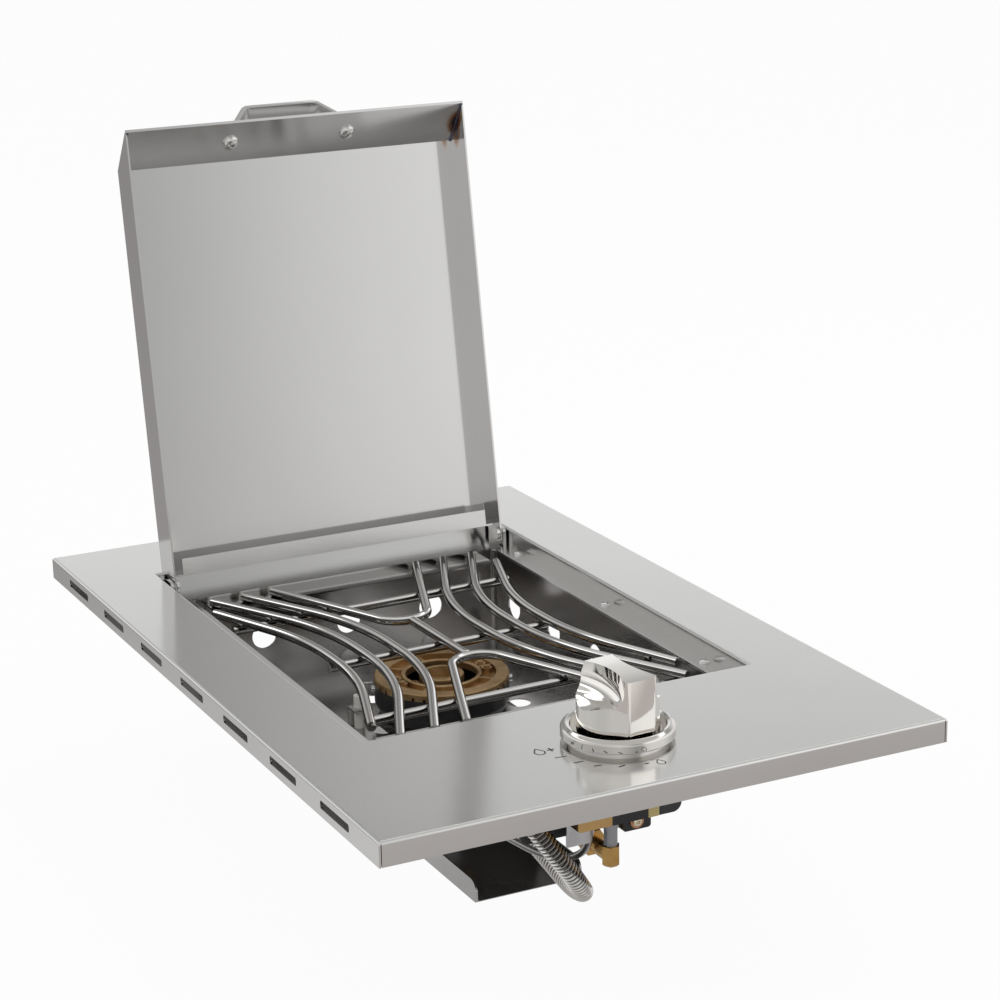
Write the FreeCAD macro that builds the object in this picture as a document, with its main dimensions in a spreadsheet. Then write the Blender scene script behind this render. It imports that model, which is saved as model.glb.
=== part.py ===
"""Built-in gas side burner: plate, tub, rod grate, brass burner, hinged lid, knob, valve, tray and hose.

Frame: origin at the middle of the plate's footprint, on the counter that it sits on. X runs to the
right along the front edge, Y to the back and Z up. Lengths are in millimetres, angles in degrees.
The lid is drawn open, as it stands in use. Its own frame is the closed lid's, with the hinge's
axis at its origin, and its placement turns it up.
"""
import FreeCAD, Part
import math
import os
import re
import Sketcher

V = FreeCAD.Vector

# Every size that can be set by itself. Heights named _deep or _drop are measured downward.
SIZES = {
    # folded plate on the counter
    "plate_wide": 368, "plate_long": 571, "plate_deep": 15, "sheet": 1.2, "bend": 1.8,
    "lip_wide": 10, "seam": 0.5, "slot_long": 40, "slot_high": 5, "slot_pitch": 75.2,
    # opening in the plate, its walls and the ledge at their foot
    "open_half": 131.3, "open_front": 148.4, "well_deep": 12, "ledge_gap": 0.2,
    # tub under the opening
    "ledge_wide": 14.3, "ledge_front": 20.9, "tub_back": 180.4, "tub_floor": 48, "tub_sheet": 1.0,
    "tub_flange": 13, "tub_bend": 4, "wall_hole": 9, "wall_hole_z": 33, "side_pitch": 61.3,
    "side_mid": 25.7, "rear_pitch": 65, "floor_hole": 8, "floor_hole_ring": 52,
    # screws that join the ledge and the tub
    "ledge_screw_in": 8.5, "ledge_screw_mid": 26.8, "ledge_screw_pitch": 131.3, "ledge_shank": 2,
    "ledge_head": 4, "ledge_head_high": 2, "hole_gap": 0.15,
    # shelves in the tub for the grate
    "rest_deep": 18, "rest_half": 108, "rest_leg": 14, "rest_step": 3.15,
    # rod grate, which lies a little askew
    "rod": 6.3, "grate_y": 27, "grate_turn": 1.7, "grate_bend": 200, "grate_reach": 147,
    "outer_waist": 78.6, "outer_end": 109.2, "outer_reach": 123, "outer_corner": 41.7,
    "second_waist": 56.5, "second_end": 101.3, "rod_corner": 52,
    "third_waist": 33.5, "third_end": 78.2,
    "v_apex": 42, "v_corner": 13.4, "v_bend": 19, "v_end": 56.3,
    "cross_y": 100, "cross_mid_half": 80.5, "cross_rear_half": 106, "cross_front_half": 102,
    # burner
    "burner_y": 25, "head_ring": 45, "head_top": 22, "head_thick": 5, "head_inner": 36.5,
    "web_drop": 4, "web_thick": 1.6, "rim_inner": 24, "rim_outer": 27, "tooth_wide": 2,
    "tooth_high": 2.2, "tooth_in": 3, "tooth_count": 36, "rib_wide": 2, "rib_count": 8,
    "boss_ring": 31.5, "boss": 3.6, "boss_spread": 9, "boss_screw": 2.1, "boss_screw_high": 1.2,
    "bowl_wall": 3, "bowl_foot": 41, "bowl_foot_high": 8, "hub": 15, "hub_cup": 11,
    "hub_cup_deep": 6, "hub_port": 0.75, "hub_port_drop": 7, "hub_port_count": 12,
    "post": 3, "post_ring": 19.5, "post_top": 31, "post_socket": 1.5,
    "side_screw": 2.4, "side_screw_long": 2.6, "side_screw_turn": -16, "side_screw_drop": 30,
    # jet holder and its elbow under the tub
    "feed": 7, "feed_flange": 13, "feed_flange_thick": 2, "feed_drop": 90, "feed_front": 10,
    "feed_bore": 4, "floor_port": 9,
    # spark electrode
    "spark_x": 62, "spark_y": 22, "ceramic": 3.25, "ceramic_top": 26, "ceramic_foot": 60,
    "wire": 0.75, "wire_top": 18, "wire_reach": 10, "strap_thick": 1.2, "strap_wide": 12,
    # bezel and knob
    "knob_y": 216.5, "bezel": 34, "bezel_high": 10.5, "bezel_base": 30, "bezel_inner": 28.5,
    "rim_foot": 2.6, "rim_fall": 1.9,
    "bezel_floor": 1.2, "bezel_hole": 9, "knob_round": 24.5, "knob_foot": 5.6, "shoulder": 29.5,
    "knob_top": 43.5, "bar_half": 9.2, "waist_half": 7, "nose": 25, "facet_x": 15.5,
    "facet_y": 19, "tail": 19.9, "scoop": 62, "scoop_bend": 7, "scoop_fall": 3,
    "knob_wall": 2.5, "knob_roof": 6, "knob_hub": 7, "knob_turn": 5, "push": 4,
    # spindle, plug and valve
    "spindle": 4, "spindle_in_knob": 16, "spindle_foot": 21, "run_gap": 0.08, "plate_port": 7,
    "plug_top": 15.5, "plug_high": 16, "plug_wide": 7, "plug_narrow": 5.6, "plug_socket": 11,
    "gas_way": 1.5, "gas_way_up": 2.5,
    "valve_left": 32, "valve_right": 22, "valve_top": 15, "valve_foot": 34.5, "valve_half": 11,
    "bonnet_half": 11, "bonnet_high": 6, "bonnet_bore_gap": 0.2,
    "lug_half": 10, "lug_top": 16, "lug_foot": 25, "ear_left": 10, "ear_right": 29,
    "ear_foot": 52, "ear_deep": 8,
    # bracket behind the valve
    "bracket_y": 196, "bracket_half": 55, "bracket_thick": 2, "bracket_foot": 50,
    "bracket_flange": 24, "bracket_round": 6,
    "valve_screw": 4.75, "valve_screw_shank": 2.5, "valve_screw_head": 3, "valve_screw_x": 19,
    "valve_screw_z": 46,
    # outlet that slants down to the hose
    "outlet_x": 58, "outlet_y": 207, "outlet_z": 24.2, "outlet_lean": 33, "outlet": 6,
    "outlet_long": 20, "nut": 9, "nut_long": 11, "arm_half": 6.5, "arm_top": 4,
    "riser_left": 45, "riser_foot": 30,
    # gas inlet
    "inlet_x": 3, "inlet_y": 212, "inlet_pipe": 4.1, "inlet_pipe_long": 19.5, "inlet_collar": 4.8,
    "inlet_collar_long": 8, "elbow": 5, "elbow_slope": 1.5, "elbow_high": 13,
    "inlet_end": 192, "inlet_nut": 7.5, "inlet_nut_long": 8, "inlet_bore": 2.6,
    # spark maker and its clip
    "piezo_x": 10, "piezo_half": 9, "piezo_top": 27, "piezo_foot": 44, "piezo_deep": 8.2,
    "clip_left": 29, "clip_right": 13, "clip_foot": 53, "clip_thick": 1.2, "clip_tab": 12,
    # hose and lead
    "hose": 6.25, "hose_root": 5.1, "hose_bore": 4.6, "hose_pitch": 3.1, "hose_cuff": 12.5, "lead": 2.25,
    # tray below the burner
    "tray_left": 38, "tray_right": 35, "tray_floor": 128, "tray_wall": 13, "tray_front": 102,
    "tray_low_end": 44, "hanger_front": 20, "hanger_back": 80, "tray_round": 8,
    "tray_flange": 10, "tray_screw": 3.5, "tray_screw_high": 1.8, "tray_screw_shank": 1.8,
    # lid, in the closed lid's frame round the hinge's axis
    "hinge_y": 190, "hinge_up": 11, "lid_lean": 99.1, "lid_gap": 4.3, "lid_high": 21.5,
    "lid_low": 4, "lid_long": 315.7, "lid_slant": 27, "lid_back": 6, "rear_deep": 19,
    "rear_flange": 12, "ear": 7, "stop_gap": 0.3, "lid_sheet": 1.2,
    "pivot": 2.5, "pivot_head": 4.5, "pivot_head_high": 2.2, "pivot_gap": 0.08,
    "tab_thick": 2.4, "tab_round": 4.5, "tab_long": 24, "tab_gap": 0.6,
    # handle on the lid's slanted front
    "handle_half": 44, "handle_grip": 27.5, "handle_off": 25, "handle_wide": 20,
    "handle_thick": 3, "handle_foot": 9, "handle_bend": 5, "handle_from_edge": 19,
    "handle_screw": 4.5, "handle_screw_high": 2.4, "handle_shank": 2,
}

# Sizes that follow from others, spelled out wherever their names are used.
FOLLOWS = {
    "tub_half": "(open_half - ledge_wide)",
    "tub_front": "(open_front - ledge_front)",
    "ledge_screw_x": "(open_half - ledge_wide + ledge_screw_in)",
    "lid_half": "(open_half - lid_gap)",
    "inlet_axis": "(valve_foot + inlet_pipe_long + elbow_high/2)",
    "outlet_top": "(outlet_long*cos(outlet_lean) - outlet_z)",
}

# Places that follow from the sizes, as expressions in the same names.
TOP = "plate_deep"
UNDER = "(plate_deep - sheet)"
LEDGE = "(plate_deep - well_deep)"
LEDGE_UNDER = "(plate_deep - well_deep - sheet)"
TUB_UNDER = "(tub_floor + tub_sheet)"
ROD_Z = "(plate_deep - well_deep - rest_step - sheet + rod / 2)"
REST_TOP = "(plate_deep - well_deep - rest_step - sheet)"
STOP_Z = "(plate_deep - bend - hinge_up)"
STOP_OUT = f"((lid_high + stop_gap + bend + {STOP_Z} * sin(lid_lean - 90)) / cos(lid_lean - 90))"
OPEN_BACK = f"(hinge_y + {STOP_OUT} - bend)"

doc = FreeCAD.newDocument("SideBurner")
sheet = doc.addObject("Spreadsheet::Sheet", "Sizes")
NAMES = re.compile(r"\b(" + "|".join(SIZES) + r")\b")
FOLLOWING = re.compile(r"\b(" + "|".join(FOLLOWS) + r")\b")
PLANES = {"XY": "XY_Plane", "XZ": "XZ_Plane", "YZ": "YZ_Plane"}


def fill_sheet():
    for row, (name, size) in enumerate(SIZES.items(), 1):
        sheet.set(f"A{row}", name)
        sheet.set(f"B{row}", str(size))
        sheet.setAlias(f"B{row}", name)
    doc.recompute()


def spell(text):
    """The same expression with every size that follows from others spelled out."""
    return FOLLOWING.sub(lambda found: FOLLOWS[found[0]], text)


def at(text):
    """Value of an expression in the sheet's names."""
    return float(sheet.evalExpression(spell(text)))


def bound(text):
    """The same expression as another object of the document reads it."""
    return NAMES.sub(r"Sizes.\1", spell(text))


def tie(target, path, text):
    target.setExpression(path, bound(text))


def new_body(label):
    body = doc.addObject("PartDesign::Body", label)
    body.Label = label
    return body


def origin_plane(body, plane):
    return next(item for item in body.Origin.OriginFeatures if item.Role == PLANES[plane])


def new_sketch(body, plane, lift="0"):
    """Empty sketch on one of the body's own planes, lifted along that plane's normal."""
    sketch = body.newObject("Sketcher::SketchObject", body.Label + "_sketch")
    sketch.AttachmentSupport = (origin_plane(body, plane), [""])
    sketch.MapMode = "FlatFace"
    if lift != "0":
        tie(sketch, "AttachmentOffset.Base.z", lift)
    return sketch


def pin_point(sketch, shape, end, across, up):
    """Hold one point of a sketch at a place that the sheet gives."""
    for kind, text, axis in (("DistanceX", across, -2), ("DistanceY", up, -1)):
        if text == "0":
            sketch.addConstraint(Sketcher.Constraint("PointOnObject", shape, end, axis))
            continue
        rule = sketch.addConstraint(Sketcher.Constraint(kind, -1, 1, shape, end, at(text)))
        tie(sketch, f"Constraints[{rule}]", text)


def bend_at(before, corner, after, radius):
    """Where a bend of that radius leaves the first run, joins the next, and its centre."""
    back = (before - corner).normalize()
    ahead = (after - corner).normalize()
    half = back.getAngle(ahead) / 2
    reach = radius / math.tan(half)
    centre = corner + (back + ahead).normalize() * (radius / math.sin(half))
    return corner + back * reach, corner + ahead * reach, centre


def add_bend(sketch, corner, spot, spans, before, after, turns_left):
    """Arc of a bend, tangent to the lines before and after it."""
    start, end, centre = spans
    radius = at(corner[2])
    angles = [math.atan2(p.y - centre.y, p.x - centre.x) for p in (start, end)]
    if not turns_left:
        angles.reverse()
    circle = Part.Circle(centre, V(0, 0, 1), radius)
    arc = sketch.addGeometry(Part.ArcOfCircle(circle, *angles), False)
    dot = sketch.addGeometry(Part.Point(spot), True)
    pin_point(sketch, dot, 1, corner[0], corner[1])
    sketch.addConstraint(Sketcher.Constraint("PointOnObject", dot, 1, before))
    sketch.addConstraint(Sketcher.Constraint("PointOnObject", dot, 1, after))
    sketch.addConstraint(Sketcher.Constraint("Tangent", before, 2, arc, 1 if turns_left else 2))
    sketch.addConstraint(Sketcher.Constraint("Tangent", after, 1, arc, 2 if turns_left else 1))
    rule = sketch.addConstraint(Sketcher.Constraint("Radius", arc, radius))
    tie(sketch, f"Constraints[{rule}]", corner[2])


def add_loop(sketch, corners, closed=True):
    """Lines through the corners. A corner is (across, up) or (across, up, bend radius)."""
    count = len(corners)
    spots = [V(at(corner[0]), at(corner[1]), 0) for corner in corners]
    spans = {}
    for i, corner in enumerate(corners):
        if len(corner) == 3:
            spans[i] = bend_at(spots[i - 1], spots[i], spots[(i + 1) % count], at(corner[2]))
    lines = []
    for i in range(count if closed else count - 1):
        j = (i + 1) % count
        start = spans[i][1] if i in spans else spots[i]
        end = spans[j][0] if j in spans else spots[j]
        lines.append(sketch.addGeometry(Part.LineSegment(start, end), False))
    for i, corner in enumerate(corners):
        before = lines[i - 1]
        after = lines[i % len(lines)]
        if i in spans:
            turn = (spots[i] - spots[i - 1]).cross(spots[(i + 1) % count] - spots[i])
            add_bend(sketch, corner, spots[i], spans[i], before, after, turn.z > 0)
            continue
        if closed or 0 < i < count - 1:
            sketch.addConstraint(Sketcher.Constraint("Coincident", before, 2, after, 1))
        if closed or i < count - 1:
            pin_point(sketch, after, 1, corner[0], corner[1])
        else:
            pin_point(sketch, before, 2, corner[0], corner[1])
    return sketch


def add_box(sketch, left, right, low, high, bend=None):
    """Rectangle between four sides, with bends of one radius at its corners if given."""
    corners = [(left, low), (right, low), (right, high), (left, high)]
    if bend:
        corners = [corner + (bend,) for corner in corners]
    return add_loop(sketch, corners)


def add_round(sketch, across, up, radius):
    circle = Part.Circle(V(at(across), at(up), 0), V(0, 0, 1), at(radius))
    ring = sketch.addGeometry(circle, False)
    pin_point(sketch, ring, 3, across, up)
    rule = sketch.addConstraint(Sketcher.Constraint("Radius", ring, at(radius)))
    tie(sketch, f"Constraints[{rule}]", radius)
    return sketch


def extrude(body, sketch, length, kind="Pad", middle=False, back=False):
    feature = body.newObject("PartDesign::" + kind, body.Label + "_" + kind.lower())
    feature.Profile = sketch
    tie(feature, "Length", length)
    feature.Midplane = middle
    feature.Reversed = back
    doc.recompute()
    return feature


def pad(body, sketch, length, middle=False, back=False):
    return extrude(body, sketch, length, "Pad", middle, back)


def cut(body, sketch, length, middle=False, back=False):
    """Pocket that goes against the sketch's normal, or with it when back is set."""
    return extrude(body, sketch, length, "Pocket", middle, back)


def spin(body, sketch, kind="Revolution"):
    """Full turn of a sketch round its own upright axis."""
    feature = body.newObject("PartDesign::" + kind, body.Label + "_" + kind.lower())
    feature.Profile = sketch
    feature.ReferenceAxis = (sketch, ["V_Axis"])
    feature.Angle = 360
    doc.recompute()
    return feature


def pipe(body, profile, path):
    feature = body.newObject("PartDesign::AdditivePipe", body.Label + "_pipe")
    feature.Profile = profile
    feature.Spine = path
    doc.recompute()
    return feature


def mirror(body, features, plane):
    copy = body.newObject("PartDesign::Mirrored", body.Label + "_mirror")
    copy.Originals = features
    copy.MirrorPlane = (origin_plane(body, plane), [""])
    body.Tip = copy
    doc.recompute()
    return copy


def mirror_twice(body, feature, planes=("XZ", "YZ")):
    """Copies of a feature in all four quarters round the body's upright axis."""
    copy = body.newObject("PartDesign::MultiTransform", body.Label + "_quarters")
    copy.Originals = [feature]
    steps = []
    for plane in planes:
        step = body.newObject("PartDesign::Mirrored", body.Label + "_mirror")
        step.MirrorPlane = (origin_plane(body, plane), [""])
        steps.append(step)
    copy.Transformations = steps
    body.Tip = copy
    doc.recompute()
    return copy


def origin_axis(body, axis):
    return next(item for item in body.Origin.OriginFeatures if item.Role == axis + "_Axis")


def ring_of(body, feature, count):
    """Copies of a feature spread evenly round the body's upright axis."""
    copy = body.newObject("PartDesign::PolarPattern", body.Label + "_ring")
    copy.Originals = [feature]
    copy.Axis = (origin_axis(body, "Z"), [""])
    copy.Angle = 360
    tie(copy, "Occurrences", count)
    body.Tip = copy
    doc.recompute()
    return copy


def row_of(body, feature, axis, length, count):
    """Copies of a feature along one of the body's own axes, over a whole length."""
    copy = body.newObject("PartDesign::LinearPattern", body.Label + "_row")
    copy.Originals = [feature]
    copy.Direction = (origin_axis(body, axis), [""])
    tie(copy, "Length", length)
    copy.Occurrences = count
    body.Tip = copy
    doc.recompute()
    return copy


def round_edges(body, radius, wanted):
    """Fillet on the edges of the body's last feature that the test accepts."""
    base = body.Tip
    names = [f"Edge{i}" for i, edge in enumerate(base.Shape.Edges, 1) if wanted(edge)]
    feature = body.newObject("PartDesign::Fillet", body.Label + "_fillet")
    feature.Base = (base, names)
    tie(feature, "Radius", radius)
    doc.recompute()
    return feature


def slope_edges(body, size, wanted):
    """Chamfer on the edges of the body's last feature that the test accepts."""
    base = body.Tip
    names = [f"Edge{i}" for i, edge in enumerate(base.Shape.Edges, 1) if wanted(edge)]
    feature = body.newObject("PartDesign::Chamfer", body.Label + "_chamfer")
    feature.Base = (base, names)
    tie(feature, "Size", size)
    doc.recompute()
    return feature


def near(value, text):
    return abs(value - at(text)) < 0.01


def flat_at(edge, height):
    """Whether an edge lies level at a height."""
    box = edge.BoundBox
    return near(box.ZMin, height) and near(box.ZMax, height)


def place(body, across="0", along="0", up="0", axis=None, angle=None):
    """Set a body where it belongs, turned about one axis through its own origin."""
    if axis:
        body.Placement = FreeCAD.Placement(V(0, 0, 0), FreeCAD.Rotation(V(*axis), 1))
        tie(body, "Placement.Rotation.Angle", angle)
    for name, text in (("x", across), ("y", along), ("z", up)):
        if text != "0":
            tie(body, "Placement.Base." + name, text)


def make_top_plate():
    """Folded plate: skin, side flanges with slots, return lip, and the sunk opening's walls and ledge."""
    body = new_body("top_plate")
    block = new_sketch(body, "XY")
    add_box(block, "-plate_wide/2", "plate_wide/2", "-plate_long/2", "plate_long/2")
    pad(body, block, "plate_deep")
    round_edges(body, "bend", lambda edge: flat_at(edge, TOP))
    hollow = new_sketch(body, "XY", UNDER)
    add_box(hollow, "sheet - plate_wide/2", "plate_wide/2 - sheet",
            "sheet - plate_long/2", "plate_long/2 - sheet")
    cut(body, hollow, "plate_deep - 2*sheet")
    mouth = new_sketch(body, "XY", "sheet")
    inset = "(sheet + lip_wide)"
    add_box(mouth, f"{inset} - plate_wide/2", f"plate_wide/2 - {inset}",
            f"{inset} - plate_long/2", f"plate_long/2 - {inset}")
    cut(body, mouth, "sheet")
    walls = new_sketch(body, "XY", LEDGE_UNDER)
    add_box(walls, "-open_half - sheet", "open_half + sheet",
            "-open_front - sheet", f"{OPEN_BACK} + sheet")
    pad(body, walls, "well_deep")
    well = new_sketch(body, "XY", TOP)
    add_box(well, "-open_half", "open_half", "-open_front", OPEN_BACK)
    cut(body, well, "well_deep")
    round_edges(body, "bend", is_opening_edge)
    throat = new_sketch(body, "XY", LEDGE)
    add_box(throat, "-tub_half - ledge_gap", "tub_half + ledge_gap", "-tub_front", "tub_back")
    cut(body, throat, "sheet")
    holes = add_rounds(new_sketch(body, "XY", LEDGE), ledge_spots(), "ledge_shank + hole_gap")
    cut(body, holes, "sheet")
    port = new_sketch(body, "XY", TOP)
    add_round(port, "0", "-knob_y", "plate_port")
    cut(body, port, "sheet")
    for side, back in (("", False), ("-", True)):
        slot = new_sketch(body, "YZ", f"{side}plate_wide/2")
        add_box(slot, "-3*slot_pitch - slot_long/2", "slot_long/2 - 3*slot_pitch",
                "plate_deep/2 - slot_high/2", "plate_deep/2 + slot_high/2", "slot_high*0.3")
        row_of(body, cut(body, slot, "2*sheet", back=back), "Y", "6*slot_pitch", 7)
    seams = new_sketch(body, "XY", UNDER)
    corner_x = "(plate_wide/2)"
    corner_y = "(plate_long/2)"
    add_box(seams, f"{corner_x} - sheet - seam", f"{corner_x} - sheet",
            f"{corner_y} - sheet - lip_wide", f"{corner_y} + sheet")
    mirror_twice(body, cut(body, seams, "plate_deep"))
    return body


def is_opening_edge(edge):
    """Whether an edge of the plate is one of the four at the opening's mouth."""
    inside = abs(edge.CenterOfMass.x) < at("open_half") + 1
    return inside and flat_at(edge, TOP) and -at("open_front") - 1 < edge.CenterOfMass.y < at(OPEN_BACK) + 1


def make_burner_tub():
    """Deep tub under the ledge, with its flange, the air holes in its walls and the floor's holes."""
    body = new_body("burner_tub")
    block = new_sketch(body, "XY", f"-{TUB_UNDER}")
    add_box(block, "-tub_half - tub_sheet", "tub_half + tub_sheet",
            "-tub_front - tub_sheet", "tub_back + tub_sheet", "tub_bend")
    pad(body, block, f"{LEDGE_UNDER} + {TUB_UNDER}")
    flange = new_sketch(body, "XY", f"{LEDGE_UNDER} - tub_sheet")
    add_box(flange, "-tub_half - tub_flange", "tub_half + tub_flange",
            "-tub_front - tub_flange", "tub_back + tub_flange", "tub_bend")
    pad(body, flange, "tub_sheet")
    inside = new_sketch(body, "XY", LEDGE_UNDER)
    add_box(inside, "-tub_half", "tub_half", "-tub_front", "tub_back", "tub_bend - tub_sheet")
    cut(body, inside, f"{LEDGE_UNDER} + tub_floor")
    holes = new_sketch(body, "XY", LEDGE_UNDER)
    add_rounds(holes, ledge_spots(), "ledge_shank + hole_gap")
    cut(body, holes, "tub_sheet")
    side = new_sketch(body, "YZ")
    for step in range(-2, 3):
        add_round(side, f"side_mid + {step}*side_pitch", "-wall_hole_z", "wall_hole")
    cut(body, side, "2*tub_half + 3*tub_sheet", middle=True)
    rear = new_sketch(body, "XZ", "-tub_back - 2*tub_sheet")
    for step in range(-1, 2):
        add_round(rear, f"{step}*rear_pitch", "-wall_hole_z", "wall_hole")
    cut(body, rear, "3*tub_sheet", back=True)
    floor = new_sketch(body, "XY", "-tub_floor")
    for turn in (40, 107, 165, 195, 253, 320):
        add_round(floor, f"-floor_hole_ring*sin({turn})", f"burner_y + floor_hole_ring*cos({turn})",
                  "floor_hole")
    add_round(floor, "0", "burner_y", "floor_port")
    add_round(floor, "-spark_x", "spark_y", "ceramic + 2*hole_gap")
    cut(body, floor, "tub_sheet")
    return body


def add_rounds(sketch, spots, radius):
    for across, up in spots:
        add_round(sketch, across, up, radius)
    return sketch


def ledge_spots():
    """Where the six screws go through the ledge and the tub's flange."""
    return [(f"{side}ledge_screw_x", f"ledge_screw_mid + {step}ledge_screw_pitch")
            for side in ("-", "") for step in ("-", "0*", "")]


def make_ledge_screws():
    """Dome screws down through the ledge and the tub's flange."""
    body = new_body("tub_ledge_screws")
    heads = add_rounds(new_sketch(body, "XY", LEDGE), ledge_spots(), "ledge_head")
    pad(body, heads, "ledge_head_high")
    slope_edges(body, "ledge_head_high*0.6", lambda edge: flat_at(edge, f"{LEDGE} + ledge_head_high"))
    shanks = add_rounds(new_sketch(body, "XY", LEDGE), ledge_spots(), "ledge_shank")
    pad(body, shanks, "sheet + 2*tub_sheet", back=True)
    return body


def make_rest(label, wall, inward):
    """Shelf on one end wall of the tub: a leg down the wall and a ledge that the rods lie on."""
    body = new_body(label)
    outline = new_sketch(body, "YZ")
    deep = f"{wall} + {inward}*rest_deep"
    thick = f"{wall} + {inward}*sheet"
    add_loop(outline, [(wall, REST_TOP), (deep, REST_TOP), (deep, f"{REST_TOP} - sheet"),
                       (thick, f"{REST_TOP} - sheet"), (thick, f"{REST_TOP} - rest_leg"),
                       (wall, f"{REST_TOP} - rest_leg")])
    pad(body, outline, "2*rest_half", middle=True)
    return body


def lay_grate(body):
    place(body, along="grate_y", up=ROD_Z, axis=(0, 0, 1), angle="grate_turn")
    return body


def make_bowed_rods(label, waist, end, corner, reach):
    """A pair of rods that run front to back, bowed towards the middle, mirrored left and right."""
    body = new_body(label)
    path = new_sketch(body, "XY")
    add_loop(path, [(waist, "0"), (waist, corner, "grate_bend"), (end, reach)], closed=False)
    section = new_sketch(body, "XZ")
    add_round(section, waist, "0", "rod/2")
    mirror_twice(body, pipe(body, section, path))
    return lay_grate(body)


def make_v_rods():
    """Front and rear rods bent to a V round the burner."""
    body = new_body("grate_v_rods")
    path = new_sketch(body, "XY")
    add_loop(path, [("0", "v_apex"), ("v_corner", "v_apex", "v_bend"), ("v_end", "grate_reach")],
             closed=False)
    section = new_sketch(body, "YZ")
    add_round(section, "v_apex", "0", "rod/2")
    mirror_twice(body, pipe(body, section, path), ("YZ", "XZ"))
    return lay_grate(body)


def make_centre_rod():
    """Straight rod between the two V rods."""
    body = new_body("grate_centre_rod")
    section = new_sketch(body, "XZ")
    add_round(section, "0", "0", "rod/2")
    pad(body, section, "2*(v_apex - rod/2)", middle=True)
    return lay_grate(body)


def make_cross_rods():
    """Three rods welded across, under the others."""
    body = new_body("grate_cross_rods")
    for along, half in (("0", "cross_mid_half"), ("cross_y", "cross_rear_half"),
                        ("-cross_y", "cross_front_half")):
        section = new_sketch(body, "YZ")
        add_round(section, along, "-rod", "rod/2")
        pad(body, section, f"2*{half}", middle=True)
    return lay_grate(body)


def make_burner_bowl():
    """Black bowl that stands on the tub's floor and feeds gas up to the head."""
    body = new_body("burner_bowl")
    outline = new_sketch(body, "XZ")
    rim = "-head_top - head_thick"
    inner = "head_ring - bowl_wall"
    add_loop(outline, [("feed_bore", "-tub_floor"), ("bowl_foot", "-tub_floor"),
                       ("head_ring", "bowl_foot_high - tub_floor"), ("head_ring", rim),
                       (inner, rim), (inner, "bowl_foot_high - tub_floor"),
                       ("bowl_foot - bowl_wall", "bowl_wall - tub_floor"),
                       ("feed_bore", "bowl_wall - tub_floor")])
    spin(body, outline)
    place(body, along="burner_y")
    return body


def make_burner_head():
    """Brass head: flat flame ring with ports like teeth under its edge, a sunk plate and an inner rim."""
    body = new_body("burner_head")
    foot = "-head_top - head_thick"
    sunk = "-head_top - web_drop"
    outline = new_sketch(body, "XZ")
    add_loop(outline, [("rim_inner", foot), ("head_ring", foot), ("head_ring", "-head_top", "1"),
                       ("head_inner", "-head_top"), ("head_inner", sunk), ("rim_outer", sunk),
                       ("rim_outer", "-head_top", "1"), ("rim_inner", "-head_top", "1")])
    spin(body, outline)
    rib = new_sketch(body, "XY", sunk)
    add_box(rib, "rim_outer - 1", "head_inner + 1", "-rib_wide/2", "rib_wide/2")
    ring_of(body, pad(body, rib, "web_drop - 1"), "rib_count")
    tooth = new_sketch(body, "XY", f"{foot} + tooth_high")
    add_box(tooth, "head_ring - tooth_in", "head_ring + 1", "-tooth_wide/2", "tooth_wide/2")
    ring_of(body, cut(body, tooth, "tooth_high"), "tooth_count")
    bosses = new_sketch(body, "XY", sunk)
    for side in ("-", ""):
        for end in ("-", ""):
            turn = f"({end}boss_spread)"
            add_round(bosses, f"{side}boss_ring*cos({turn})", f"boss_ring*sin({turn})", "boss")
    pad(body, bosses, "web_drop - 0.6")
    place(body, along="burner_y")
    return body


def make_head_screws():
    """Small screws on the head's bosses."""
    body = new_body("head_screws")
    top = "-head_top - 0.6"
    outline = new_sketch(body, "XY", top)
    for side in ("-", ""):
        for end in ("-", ""):
            turn = f"({end}boss_spread)"
            add_round(outline, f"{side}boss_ring*cos({turn})", f"boss_ring*sin({turn})", "boss_screw")
    pad(body, outline, "boss_screw_high")
    place(body, along="burner_y")
    return body


def make_burner_hub():
    """Brass hub in the middle of the bowl: a cup on top and a row of small ports below it."""
    body = new_body("burner_hub")
    foot = "bowl_wall - tub_floor"
    outline = new_sketch(body, "XZ")
    add_loop(outline, [("feed_bore", foot), ("hub", foot), ("hub", "-head_top", "1.5"),
                       ("hub_cup", "-head_top"), ("hub_cup - 1", "-head_top - hub_cup_deep"),
                       ("0", "-head_top - hub_cup_deep"), ("0", "-head_top - hub_cup_deep - 3"),
                       ("feed_bore", "-head_top - hub_cup_deep - 3")])
    spin(body, outline)
    port = new_sketch(body, "YZ", "hub + 1")
    add_round(port, "0", "-head_top - hub_port_drop", "hub_port")
    ring_of(body, cut(body, port, "hub - hub_cup + 1"), "hub_port_count")
    place(body, along="burner_y")
    return body


def make_burner_posts():
    """Four socket posts that stand in the gap round the hub and hold the head to the bowl."""
    body = new_body("burner_posts")
    foot = "bowl_wall - tub_floor"
    post = new_sketch(body, "XY", foot)
    add_round(post, "post_ring", "0", "post")
    add_round(post, "post_ring", "0", "post_socket")
    ring_of(body, pad(body, post, f"-post_top - ({foot})"), "4")
    place(body, along="burner_y", axis=(0, 0, 1), angle="45")
    return body


def make_bowl_side_screws():
    """Two screws through the bowl's side, opposite each other."""
    body = new_body("bowl_side_screws")
    head = new_sketch(body, "YZ", "head_ring")
    add_round(head, "0", "-side_screw_drop", "side_screw")
    screw = pad(body, head, "side_screw_long")
    ring_of(body, screw, "2")
    place(body, along="burner_y", axis=(0, 0, 1), angle="side_screw_turn")
    return body


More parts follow.
